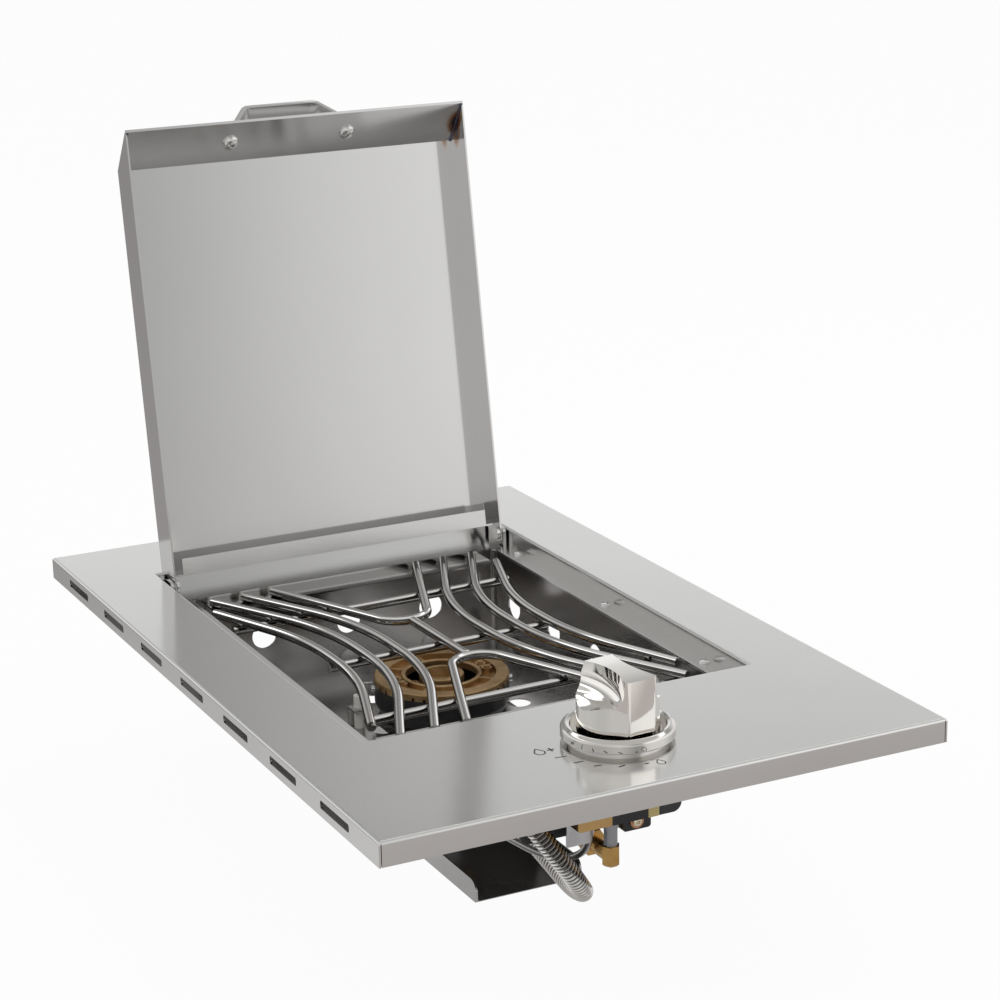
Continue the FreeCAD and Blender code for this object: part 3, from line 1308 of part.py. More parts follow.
def check(nodes):
    """Stop with a plain message if anything in the document failed or a cut took nothing away."""
    faults = []
    for item in doc.Objects:
        if {"Invalid", "Error"} & set(item.State):
            faults.append(f"{item.Name}: {item.State}")
        elif item.TypeId in ("PartDesign::Pocket", "PartDesign::Groove"):
            if item.Shape.Volume >= item.BaseFeature.Shape.Volume - 0.01:
                faults.append(f"{item.Name} takes nothing away")
    for node in nodes:
        if node.Shape.isNull() or not node.Shape.isValid() or not node.Shape.Solids:
            faults.append(f"{node.Label}: shape is not a valid solid")
    if faults:
        raise RuntimeError("; ".join(faults))


fill_sheet()
NODES = build()
doc.recompute()
check(NODES)
os.makedirs("parts", exist_ok=True)
for node in NODES:
    node.Shape.exportStep(f"parts/{node.Label}.step")
print(len(NODES), "nodes written")
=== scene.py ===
"""Looks of a built in side burner: its finishes, and the small pieces that the solids leave plain."""

from __future__ import annotations

import logging
import math
from bisect import bisect_right
from dataclasses import dataclass, field
from enum import Enum
from typing import Callable, Sequence

import bmesh
import bpy
from mathutils import Matrix, Vector


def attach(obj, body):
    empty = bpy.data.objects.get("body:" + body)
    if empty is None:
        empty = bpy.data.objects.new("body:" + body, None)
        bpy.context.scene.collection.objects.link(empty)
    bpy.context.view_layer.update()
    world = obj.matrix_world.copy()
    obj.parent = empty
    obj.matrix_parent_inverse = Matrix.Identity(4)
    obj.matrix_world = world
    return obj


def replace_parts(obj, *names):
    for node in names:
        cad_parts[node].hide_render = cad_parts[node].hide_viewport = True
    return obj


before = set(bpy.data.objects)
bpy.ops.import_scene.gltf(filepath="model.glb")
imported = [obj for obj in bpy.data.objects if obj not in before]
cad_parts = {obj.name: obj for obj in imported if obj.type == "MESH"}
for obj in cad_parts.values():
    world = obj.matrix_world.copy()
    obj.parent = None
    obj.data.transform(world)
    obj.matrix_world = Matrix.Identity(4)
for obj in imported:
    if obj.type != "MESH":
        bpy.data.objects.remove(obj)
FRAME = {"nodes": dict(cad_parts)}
MM = 0.001
Colour = tuple[float, float, float]
Point = tuple[float, float, float]
Pair = tuple[float, float]
Stops = tuple[tuple[float, Colour], ...]
Socket = bpy.types.NodeSocket
Material = bpy.types.Material
Mesh = bmesh.types.BMesh
log = logging.getLogger("side_burner")


def in_metres(*points: Point) -> tuple[Point, ...]:
    """Turns points in millimetres to metres."""
    return tuple(tuple(value * MM for value in point) for point in points)


HOSE_POINTS = in_metres(
    (-58.0, -207.0, -24.2), (-46.018, -207.0, -42.651), (-29.0, -205.5, -66.0), (-15.0, -197.0, -85.0),
    (-5.0, -182.0, -97.0), (-0.5, -158.0, -104.0), (1.0, -126.0, -99.0), (1.0, -94.0, -93.0),
    (0.0, -60.0, -89.5), (0.0, -27.0, -90.0), (0.0, -1.0, -90.0),
)
LEAD_POINTS = in_metres(
    (-10.0, -200.1, -44.0), (-10.0, -200.1, -56.0), (-16.0, -194.0, -66.5), (-29.0, -181.0, -69.0),
    (-43.0, -160.0, -62.0), (-51.0, -134.0, -57.5), (-56.0, -104.0, -55.5), (-59.0, -72.0, -58.0),
    (-61.0, -47.0, -65.0), (-62.0, -25.0, -74.5), (-62.0, -7.0, -83.5), (-62.0, 7.0, -84.0),
    (-62.0, 17.0, -78.7), (-62.0, 22.0, -70.0), (-62.0, 22.0, -60.0),
)


class Body(Enum):
    """Moving bodies of the burner, by the names that the record gives them."""

    FRAME = "frame"
    LID = "lid"
    KNOB = "knob"


class Grain(Enum):
    """Direction in which a sheet is brushed, as the stretch of its noise along X, Y and Z."""

    ACROSS = (3.0, 420.0, 420.0)
    UPRIGHT = (420.0, 420.0, 3.0)


class Graph:
    """Node tree, with a short call for each kind of node that the finishes and the sky use."""

    def __init__(self, tree: bpy.types.NodeTree) -> None:
        """Takes the tree that the calls add to."""
        self.tree = tree

    def node(self, kind: str, **settings: object) -> bpy.types.Node:
        """Adds a node.

        Args:
            kind: Blender's name of the node type.
            settings: Properties to set on it.

        Returns:
            The new node.
        """
        node = self.tree.nodes.new(kind)
        for key, value in settings.items():
            setattr(node, key, value)
        return node

    def result(self, kind: str, *values: object, **settings: object) -> Socket:
        """Adds a node, feeds its inputs in their order and gives its first output.

        Args:
            kind: Blender's name of the node type.
            values: Outputs, colours or numbers for its inputs.
            settings: Properties to set on it.

        Returns:
            Socket with the node's result.
        """
        node = self.node(kind, **settings)
        for socket, value in zip(node.inputs, values):
            self.feed(socket, value)
        return node.outputs[0]

    def noise(self, where: Socket, scale: float, detail: float = 3.0, blend: float = 0.55) -> Socket:
        """Noise from 0 to 1, with cells of a scale, and finer layers by their number and weight."""
        return self.result("ShaderNodeTexNoise", where, 0.0, scale, detail, blend)

    def span(self, value: Socket, low: float, high: float, start: float = 0.0, end: float = 1.0) -> Socket:
        """Maps a value, low at the start and high at the end, and keeps it inside."""
        return self.result("ShaderNodeMapRange", value, start, end, low, high)

    def ramp(self, value: Socket, stops: Stops) -> Socket:
        """Colour that changes along a value.

        Args:
            value: Socket from 0 to 1.
            stops: Places and their colours.

        Returns:
            Socket with the colour.
        """
        node = self.node("ShaderNodeValToRGB")
        elements = node.color_ramp.elements
        while len(elements) < len(stops):
            elements.new(0.5)
        for element, (place, colour) in zip(elements, stops):
            element.position = place
            element.color = (*colour, 1.0)
        self.feed(node.inputs[0], value)
        return node.outputs[0]

    def feed(self, socket: Socket, value: object) -> None:
        """Gives an input its value.

        Args:
            socket: The input.
            value: A node's output, a colour or a number.
        """
        if isinstance(value, Socket):
            self.tree.links.new(value, socket)
        elif socket.type == "RGBA":
            socket.default_value = (*value, 1.0)
        else:
            socket.default_value = value

    def mix(self, share: Socket, first: object, second: object) -> Socket:
        """Mixes two colours, each a socket or a constant.

        Args:
            share: Socket with the second colour's share.
            first: Colour at a share of 0.
            second: Colour at a share of 1.

        Returns:
            Socket with the colour.
        """
        node = self.node("ShaderNodeMix", data_type="RGBA")
        for index, value in ((0, share), (6, first), (7, second)):
            self.feed(node.inputs[index], value)
        return node.outputs[2]

    def maths(self, operation: str, first: Socket, second: object = 0.0) -> Socket:
        """Works out an operation, by Blender's name of it, on one or two values."""
        return self.result("ShaderNodeMath", first, second, operation=operation)

    def parts(self, vector: Socket) -> dict[str, Socket]:
        """Splits a vector.

        Args:
            vector: Socket with the vector.

        Returns:
            Its sockets X, Y and Z.
        """
        node = self.node("ShaderNodeSeparateXYZ")
        self.feed(node.inputs[0], vector)
        return {name: node.outputs[name] for name in "XYZ"}


class Shader(Graph):
    """Node tree of one material round its Principled shader."""

    def __init__(self, name: str, colour: Colour, roughness: float, metallic: float = 0.0) -> None:
        """Starts a material from one Principled shader.

        Args:
            name: Name of the material.
            colour: Plain colour, linear, from 0 to 1.
            roughness: Roughness of the surface.
            metallic: 1 for bare metal and 0 for anything else.
        """
        self.material = bpy.data.materials.new(name)
        self.material.use_nodes = True
        super().__init__(self.material.node_tree)
        self.surface = self.tree.nodes["Principled BSDF"]
        self.set("Base Color", colour)
        self.set("Roughness", roughness)
        self.set("Metallic", metallic)

    def set(self, socket: str, value: object) -> None:
        """Gives one socket of the Principled shader a constant or a node's output."""
        self.feed(self.surface.inputs[socket], value)

    def colour(self) -> Socket:
        """Reads the socket that colours the surface so far."""
        return self.surface.inputs["Base Color"].links[0].from_socket

    def place(self, scale: Point = (1, 1, 1), move: Point = (0, 0, 0)) -> Socket:
        """Gives object coordinates, moved and scaled.

        Args:
            scale: Scale along each axis.
            move: Point that becomes the origin, in metres.

        Returns:
            Socket with the coordinates.
        """
        here = self.node("ShaderNodeTexCoord").outputs["Object"]
        moved = self.result("ShaderNodeMapping", here, [-value for value in move])
        return self.result("ShaderNodeMapping", moved, (0, 0, 0), (0, 0, 0), scale)

    def blob(self, centre: Point, half: Point) -> Socket:
        """Value of 1 at a point, fading to 0 over a stretched ball.

        Args:
            centre: Middle of the ball, in metres.
            half: Half lengths of the ball, in metres.

        Returns:
            Socket with the value.
        """
        node = self.node("ShaderNodeTexGradient", gradient_type="SPHERICAL")
        self.feed(node.inputs["Vector"], self.place(tuple(1 / value for value in half), centre))
        return node.outputs["Fac"]

    def facing(self) -> dict[str, Socket]:
        """Direction that the surface faces on the piece itself.

        Returns:
            Its sockets X, Y and Z.
        """
        normal = self.node("ShaderNodeNewGeometry").outputs["Normal"]
        spaces = {"vector_type": "NORMAL", "convert_from": "WORLD", "convert_to": "OBJECT"}
        return self.parts(self.result("ShaderNodeVectorTransform", normal, **spaces))

    def outward(self) -> Socket:
        """X that the surface faces times the X where it is, below 0 where it faces the middle."""
        return self.maths("MULTIPLY", self.facing()["X"], self.parts(self.place())["X"])

    def glow(self, colour: object) -> Socket:
        """Gives a plain light of a colour, a socket or a constant."""
        return self.result("ShaderNodeEmission", colour)

    def blend(self, share: Socket, first: Socket, second: Socket) -> Socket:
        """Mixes two surfaces by the second one's share."""
        return self.result("ShaderNodeMixShader", share, first, second)

    def finish(self, surface: Socket) -> None:
        """Puts another surface than the Principled one on the material."""
        self.feed(self.tree.nodes["Material Output"].inputs[0], surface)

    def relief(self, height: Socket, depth: float, strength: float = 1.0) -> None:
        """Bumps the surface.

        Args:
            height: Socket from 0 to 1.
            depth: Depth of the relief, in metres.
            strength: Share of the relief that shows.
        """
        node = self.node("ShaderNodeBump")
        for socket, value in (("Strength", strength), ("Distance", depth), ("Height", height)):
            self.feed(node.inputs[socket], value)
        self.set("Normal", node.outputs[0])

    def stretched_along(self, direction: Point, amount: float) -> None:
        """Stretches highlights along a fixed direction across the brush marks, by 0 to 1."""
        self.set("Anisotropic", amount)
        self.set("Tangent", self.result("ShaderNodeCombineXYZ", *direction))


@dataclass(frozen=True)
class BrushedSteel:
    """Stainless sheet with fine brush marks and soft cloudy changes of shine."""

    name: str
    colour: Colour
    roughness: float = 0.24
    grain: Grain = Grain.ACROSS
    stretch: float = 0.5
    stretch_along: Point = (0.0, 0.97, 0.25)
    mark_scale: float = 2.4
    mark_depth: float = 0.000002
    mark_strength: float = 0.35
    rough: Pair = (0.9, 1.12)
    cloud_scale: float = 7.0
    cloud_share: float = 0.03
    cloud_rough: float = 0.015

    def shader(self) -> Shader:
        """Builds the sheet's shader, for a finish that adds to it.

        Returns:
            The shader.
        """
        shader = Shader(self.name, self.colour, self.roughness, 1.0)
        marks = shader.noise(shader.place(self.grain.value), self.mark_scale, 4.0, 0.6)
        clouds = shader.noise(shader.place(), self.cloud_scale, 2.0)
        dark = tuple(value * (1 - self.cloud_share) for value in self.colour)
        light = tuple(min(1.0, value * (1 + self.cloud_share)) for value in self.colour)
        shader.set("Base Color", shader.mix(clouds, dark, light))
        rough = shader.span(marks, self.roughness * self.rough[0], self.roughness * self.rough[1])
        cloudy = shader.span(clouds, -self.cloud_rough, self.cloud_rough)
        shader.set("Roughness", shader.maths("ADD", rough, cloudy))
        if self.mark_depth:
            shader.relief(marks, self.mark_depth, self.mark_strength)
        if self.stretch:
            shader.stretched_along(self.stretch_along, self.stretch)
        return shader

    def material(self) -> Material:
        """Builds the material."""
        return self.shader().material


@dataclass(frozen=True)
class TintedSteel:
    """Brushed sheet, blued and browned by heat at a welded corner, with a light seam at its foot."""

    sheet: BrushedSteel
    corner: Point
    reach: Point = (0.0058, 0.009, 0.021)
    tints: Stops = (
        (0.0, (0.62, 0.60, 0.58)), (0.18, (0.55, 0.44, 0.36)),
        (0.42, (0.38, 0.22, 0.13)), (0.66, (0.17, 0.15, 0.19)),
        (0.85, (0.10, 0.12, 0.20)),
    )
    tint_start: Pair = (0.02, 0.30)
    stain_scale: float = 260.0
    stain: Pair = (0.78, 1.2)
    seam_colour: Colour = (0.42, 0.41, 0.405)
    seam_metallic: float = 0.2
    seam_y: Pair = (0.1957, 0.1960)
    seam_z: Pair = (0.0272, 0.0282)
    seam_x: Pair = (0.1252, 0.1256)

    def material(self) -> Material:
        """Builds the material.

        Returns:
            The material with its nodes.
        """
        shader = self.sheet.shader()
        stain = shader.noise(shader.place(), self.stain_scale, 2.0)
        heat = shader.maths("MULTIPLY", shader.blob(self.corner, self.reach), shader.span(stain, *self.stain))
        share = shader.span(heat, 0.0, 1.0, *self.tint_start)
        stained = shader.mix(share, shader.colour(), shader.ramp(heat, self.tints))
        seam = self.seam(shader)
        shader.set("Base Color", shader.mix(seam, stained, self.seam_colour))
        shader.set("Metallic", shader.span(seam, 1.0, self.seam_metallic))
        return shader.material

    def seam(self, shader: Shader) -> Socket:
        """Marks the strip behind the lid's lip.

        Args:
            shader: Shader that the strip belongs to.

        Returns:
            Socket with 1 on the strip and 0 beside it.
        """
        place = shader.parts(shader.place())
        behind = shader.span(place["Y"], 0.0, 1.0, *self.seam_y)
        low = shader.span(place["Z"], 1.0, 0.0, *self.seam_z)
        inside = shader.span(shader.maths("ABSOLUTE", place["X"]), 1.0, 0.0, *self.seam_x)
        return shader.maths("MULTIPLY", behind, shader.maths("MULTIPLY", inside, low))


@dataclass(frozen=True)
class Polished:
    """Bright metal with faint wipe marks."""

    name: str
    colour: Colour
    roughness: float = 0.07
    smear: float = 0.03
    wave_depth: float = 0.0
    wave_scale: float = 55.0
    smear_scale: float = 38.0
    smear_span: Pair = (0.3, 0.7)
    lowest: float = 0.02

    def material(self) -> Material:
        """Builds the material.

        Returns:
            The material with its nodes.
        """
        shader = Shader(self.name, self.colour, self.roughness, 1.0)
        smear = shader.noise(shader.place(), self.smear_scale, 4.0)
        low = max(self.lowest, self.roughness - self.smear)
        shader.set("Roughness", shader.span(smear, low, self.roughness + self.smear, *self.smear_span))
        if self.wave_depth:
            shader.relief(shader.noise(shader.place(), self.wave_scale, 1.0), self.wave_depth, 0.6)
        return shader.material


@dataclass(frozen=True)
class CastMetal:
    """Cast metal with a sandy skin and darker hollows."""

    name: str
    colour: Colour
    shade: Colour
    roughness: float = 0.45
    skin_depth: float = 0.00018
    skin_scale: float = 900.0
    uneven: Pair = (-0.1, 0.12)
    stain_scale: float = 70.0
    stain_span: Pair = (0.35, 0.7)

    def material(self) -> Material:
        """Builds the material.

        Returns:
            The material with its nodes.
        """
        shader = Shader(self.name, self.colour, self.roughness, 1.0)
        sand = shader.noise(shader.place(), self.skin_scale, 3.0, 0.6)
        stain = shader.noise(shader.place(), self.stain_scale)
        share = shader.span(stain, 0, 1, *self.stain_span)
        shader.set("Base Color", shader.mix(share, self.shade, self.colour))
        smooth, rough = (self.roughness + step for step in self.uneven)
        shader.set("Roughness", shader.span(stain, smooth, rough))
        shader.relief(sand, self.skin_depth, 0.5)
        return shader.material


@dataclass(frozen=True)
class Coated:
    """Paint, enamel, plastic or glaze with a slightly uneven skin."""

    name: str
    colour: Colour
    roughness: float = 0.4
    skin_depth: float = 0.00004
    skin_scale: float = 500.0
    uneven: float = 0.2
    patch_scale: float = 30.0
    patch_span: Pair = (0.4, 0.8)
    dust: float = 0.04
    gloss: float = 0.0
    gloss_rough: float = 0.12

    def material(self) -> Material:
        """Builds the material.

        Returns:
            The material with its nodes.
        """
        shader = Shader(self.name, self.colour, self.roughness)
        skin = shader.noise(shader.place(), self.skin_scale)
        patches = shader.noise(shader.place(), self.patch_scale)
        pale = tuple(min(1.0, value + self.dust) for value in self.colour)
        share = shader.span(patches, 0, 1, *self.patch_span)
        shader.set("Base Color", shader.mix(share, self.colour, pale))
        smooth, rough = (self.roughness * (1 + side * self.uneven) for side in (-1, 1))
        shader.set("Roughness", shader.span(patches, smooth, rough))
        shader.relief(skin, self.skin_depth, 0.4)
        if self.gloss:
            shader.set("Coat Weight", self.gloss)
            shader.set("Coat Roughness", self.gloss_rough)
        return shader.material


@dataclass(frozen=True)
class Braid:
    """Braided wire sleeve, woven over the piece's own UV map."""

    name: str
    colour: Colour
    roughness: float = 0.32
    metallic: float = 0.85
    shade: float = 0.25
    lean: float = 45.0
    edge: Pair = (0.2, 0.8)
    depth: float = 0.0006

    def material(self) -> Material:
        """Builds the material.

        Returns:
            The material with its nodes.
        """
        shader = Shader(self.name, self.colour, self.roughness, self.metallic)
        where = shader.node("ShaderNodeUVMap").outputs[0]
        waves = []
        for side in (1, -1):
            turned = (0, 0, side * math.radians(self.lean))
            leaning = shader.result("ShaderNodeMapping", where, (0, 0, 0), turned)
            wave = shader.node("ShaderNodeTexWave", wave_type="BANDS")
            shader.feed(wave.inputs["Scale"], 1.0)
            shader.feed(wave.inputs["Vector"], leaning)
            waves.append(wave.outputs["Fac"])
        weave = shader.maths("MAXIMUM", *waves)
        dark = tuple(value * self.shade for value in self.colour)
        shader.set("Base Color", shader.mix(shader.span(weave, 0, 1, *self.edge), dark, self.colour))
        shader.relief(weave, self.depth, 0.9)
        return shader.material


def lean_of_lid(turn: float = -99.1, axis: Point = (0, 0.190, 0.011)) -> Matrix:
    """Place of the open lid, turned in degrees round its hinge, from its closed frame to the row frame."""
    return Matrix.Translation(axis) @ Matrix.Rotation(math.radians(turn), 4, "X")


def front_of_lid(
    from_edge: float = 0.019, slant: float = 0.027, high: float = 0.0255,
    edge: Pair = (-0.3157, -0.004),
) -> Matrix:
    """Frame on the slanted front of the open lid, its Z outwards.

    Args:
        from_edge: Distance up the slope from the open edge, in metres.
        slant: Run of the slope.
        high: Rise of the slope.
        edge: Y and Z of the open edge in the lid's closed frame.

    Returns:
        Place of that frame in the row frame.
    """
    tilt = math.atan2(high, slant)
    foot = Vector((0, from_edge * math.cos(tilt) + edge[0], from_edge * math.sin(tilt) + edge[1]))
    return lean_of_lid() @ Matrix.Translation(foot) @ Matrix.Rotation(tilt, 4, "X")


def all_of(mesh: Mesh) -> list[bmesh.types.BMElem]:
    """Lists a mesh's vertices, edges and faces."""
    return mesh.verts[:] + mesh.edges[:] + mesh.faces[:]


def add_object(name: str, data: bpy.types.ID) -> bpy.types.Object:
    """Adds an object to the scene.

    Args:
        name: Name of the object.
        data: Its mesh, curve, lamp or camera.

    Returns:
        The new object.
    """
    piece = bpy.data.objects.new(name, data)
    bpy.context.scene.collection.objects.link(piece)
    return piece


def add_mesh(name: str, mesh: Mesh) -> bpy.types.Object:
    """Adds an object with a bmesh's shape.

    Args:
        name: Name of the object.
        mesh: Its shape. It is freed.

    Returns:
        The new object.
    """
    data = bpy.data.meshes.new(name)
    mesh.to_mesh(data)
    mesh.free()
    return add_object(name, data)


def add_cylinder(
    mesh: Mesh, sides: int, radius: float, depth: float, place: Matrix = Matrix()
) -> list[bmesh.types.BMVert]:
    """Adds a closed cylinder round the Z axis of a place.

    Args:
        mesh: Mesh that takes it.
        sides: Number of its sides.
        radius: Its radius.
        depth: Its length, half on each side of the place.
        place: Its middle and turn.

    Returns:
        Its vertices.
    """
    return bmesh.ops.create_cone(
        mesh, cap_ends=True, segments=sides, radius1=radius, radius2=radius, depth=depth, matrix=place,
    )["verts"]


def add_box(mesh: Mesh, size: Point, place: Matrix) -> list[bmesh.types.BMVert]:
    """Adds a box with a place as its middle, and gives its vertices."""
    return bmesh.ops.create_cube(mesh, size=1.0, matrix=place @ Matrix.Diagonal((*size, 1)))["verts"]


def close(mesh: Mesh) -> None:
    """Fills a mesh's open rim and turns its faces outwards.

    Args:
        mesh: Mesh with one open rim.
    """
    rim = [edge for edge in mesh.edges if edge.is_boundary]
    bmesh.ops.contextual_create(mesh, geom=rim)
    bmesh.ops.recalc_face_normals(mesh, faces=mesh.faces)


def thicken(mesh: Mesh, way: Point) -> None:
    """Extrudes a flat mesh to a body.

    Args:
        mesh: Mesh with one face.
        way: Direction and length of the extrusion.
    """
    raised = bmesh.ops.extrude_face_region(mesh, geom=mesh.faces[:])["geom"]
    far = [vertex for vertex in raised if isinstance(vertex, bmesh.types.BMVert)]
    bmesh.ops.translate(mesh, vec=way, verts=far)


def carve(body: Mesh, tool: Mesh, how: str) -> Mesh:
    """Takes a tool out of a body, or keeps only what both share.

    Args:
        body: Closed mesh. It is freed.
        tool: Closed mesh. It is freed.
        how: DIFFERENCE or INTERSECT.

    Returns:
        The new body.
    """
    pieces = [add_mesh("body", body), add_mesh("tool", tool)]
    cut = pieces[0].modifiers.new("cut", "BOOLEAN")
    cut.operation = how
    cut.solver = "EXACT"
    cut.use_self = True
    cut.object = pieces[1]
    bpy.context.view_layer.update()
    data = bpy.data.meshes.new_from_object(pieces[0].evaluated_get(bpy.context.evaluated_depsgraph_get()))
    result = bmesh.new()
    result.from_mesh(data)
    for piece in pieces:
        bpy.data.objects.remove(piece)
    bpy.data.meshes.remove(data)
    return result


def finish_piece(
    mesh: Mesh, name: str, body: Body, material: Material, smooth: float = 35.0
) -> bpy.types.Object:
    """Turns a bmesh into a named piece that rides on a body.

    Args:
        mesh: Shape in the row frame. It is freed.
        name: Name of the piece.
        body: Body that carries it.
        material: Its finish.
        smooth: Angle up to which its faces shade smoothly, in degrees, 0 for flat faces.

    Returns:
        The new object.
    """
    piece = add_mesh(name, mesh)
    data = piece.data
    data.materials.append(material)
    if smooth:
        data.shade_smooth()
        data.set_sharp_from_angle(angle=math.radians(smooth))
    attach(piece, body.value)
    log.info("%s: %d faces on %s", name, len(data.polygons), body.value)
    return piece


def dress(nodes: Sequence[str], material: Material) -> None:
    """Gives CAD nodes a finish.

    Args:
        nodes: Names of the nodes.
        material: Finish for all of them.
    """
    for name in nodes:
        node = FRAME["nodes"][name]
        node.data.materials.clear()
        node.data.materials.append(material)
        log.info("%s: %s", name, material.name)


@dataclass
class Route:
    """Centre line of a hose or lead, as the smooth curve through its control points."""

    name: str
    points: tuple[Point, ...]

    def curve(self) -> bpy.types.Object:
        """Builds the curve.

        Returns:
            Curve object with one open spline.
        """
        data = bpy.data.curves.new(self.name, "CURVE")
        data.dimensions = "3D"
        spline = data.splines.new("NURBS")
        spline.points.add(len(self.points) - 1)
        for point, place in zip(spline.points, self.points):
            point.co = (*place, 1.0)
        spline.order_u = 3
        spline.use_endpoint_u = True
        data.resolution_u = 40
        return add_object(self.name, data)

    def line(self) -> list[Vector]:
        """Reads points close together along the curve.

        Returns:
            The points, in their order.
        """
        curve = self.curve()
        mesh = bpy.data.meshes.new_from_object(curve)
        line = [vertex.co.copy() for vertex in mesh.vertices]
        bpy.data.meshes.remove(mesh)
        bpy.data.objects.remove(curve)
        return line


@dataclass
class Sleeve:
    """Round tube along a route, whose radius may change along it."""

    route: Route
    radius: Callable[[float, float], float]
    step: float
    sides: int = 24

    def build(self) -> tuple[Mesh, list[Vector], float]:
        """Bends a straight tube along the route.

        Returns:
            The tube, the points it follows and its length.
        """
        line = self.route.line()
        reach = [0.0]
        for start, end in zip(line, line[1:]):
            reach.append(reach[-1] + (end - start).length)
        length = reach[-1]
        rings = max(8, round(length / self.step))
        mesh = bmesh.new()
        add_cylinder(mesh, self.sides, 1, 1, Matrix.Translation((0, 0, 0.5)))
        sides = [edge for edge in mesh.edges if abs(edge.verts[0].co.z - edge.verts[1].co.z) > 0.5]
        bmesh.ops.subdivide_edges(mesh, edges=sides, cuts=rings - 1, use_grid_fill=True)
        frames = self.frames(line)
        layer = mesh.loops.layers.uv.new("UVMap")
        for face in mesh.faces:
            turns = [math.atan2(loop.vert.co.y, loop.vert.co.x) / math.tau for loop in face.loops]
            wrap = max(turns) - min(turns) > 0.5
            for loop, turn in zip(face.loops, turns):
                across = turn + 1 if wrap and turn < 0 else turn
                loop[layer].uv = (across, loop.vert.co.z * length)
        for vertex in mesh.verts:
            along = vertex.co.z * length
            index = min(len(line) - 2, max(0, bisect_right(reach, along) - 1))
            part = (along - reach[index]) / max(1e-9, reach[index + 1] - reach[index])
            right, up = (first.lerp(second, part) for first, second in zip(frames[index], frames[index + 1]))
            out = vertex.co.x * right + vertex.co.y * up
            vertex.co = line[index].lerp(line[index + 1], part) + self.radius(along, length) * out
        mesh.normal_update()
        return mesh, line, length

    @staticmethod
    def frames(line: Sequence[Vector]) -> list[tuple[Vector, Vector]]:
        """Two directions across the line at each of its points, without twist.

        Args:
            line: Points along the route.

        Returns:
            A pair of unit vectors for each point.
        """
        ahead = (line[1] - line[0]).normalized()
        right = ahead.orthogonal().normalized()
        found = []
        for index in range(len(line)):
            start = line[max(0, index - 1)]
            end = line[min(len(line) - 1, index + 1)]
            turned = (end - start).normalized()
            right = (ahead.rotation_difference(turned) @ right).normalized()
            ahead = turned
            found.append((right, ahead.cross(right).normalized()))
        return found


@dataclass
class CrossScrew:
    """Domed screw head with a cross recess, its top at +Z."""

    radius: float
    high: float
    recess: float = 0.55
    sides: int = 32
    steps: int = 7
    rim: float = 0.22
    arm: float = 0.13
    taper: float = 0.45
    recess_middle: float = 0.92

    def head(self) -> Mesh:
        """Builds the head on the plane Z = 0 round the Z axis.

        Returns:
            The head without its recess.
        """
        dome = bmesh.new()
        profile = []
        for index in range(self.steps + 1):
            angle = math.pi / 2 * index / self.steps
            up = self.high * (self.rim + (1 - self.rim) * math.sin(angle))
            profile.append(dome.verts.new((max(self.radius * math.cos(angle), 0.0), 0, up)))
        foot = dome.verts.new((self.radius, 0, 0))
        for first, second in zip([foot, *profile], profile):
            dome.edges.new((first, second))
        bmesh.ops.spin(
            dome, geom=dome.verts[:] + dome.edges[:], cent=(0, 0, 0), axis=(0, 0, 1),
            angle=math.tau, steps=self.sides, use_merge=True,
        )
        bmesh.ops.remove_doubles(dome, verts=dome.verts, dist=1e-6)
        close(dome)
        return dome

    def cutter(self) -> Mesh:
        """Builds the cross that is taken out of the head.

        Returns:
            Two crossed bars, narrower at their foot.
        """
        cross = bmesh.new()
        size = (2 * self.radius * self.recess, 2 * self.radius * self.arm, self.high)
        middle = self.high * self.recess_middle
        for turn in (0, math.pi / 2):
            bar = add_box(cross, size, Matrix.Translation((0, 0, middle)))
            for vertex in bar:
                if vertex.co.z < middle:
                    vertex.co.x *= self.taper
            bmesh.ops.transform(cross, matrix=Matrix.Rotation(turn, 4, "Z"), verts=bar)
        return cross

    def build(self) -> Mesh:
        """Takes the cross out of the head, and gives the finished head on the plane Z = 0."""
        return carve(self.head(), self.cutter(), "DIFFERENCE")

    def repeat(self, places: Sequence[Matrix]) -> Mesh:
        """Puts the same head at several places.

        Args:
            places: Place of each head.

        Returns:
            All heads in one mesh.
        """
        data = bpy.data.meshes.new("screw_head")
        one = self.build()
        one.to_mesh(data)
        one.free()
        whole = bmesh.new()
        for place in places:
            copy = data.copy()
            copy.transform(place)
            whole.from_mesh(copy)
            bpy.data.meshes.remove(copy)
        bpy.data.meshes.remove(data)
        return whole


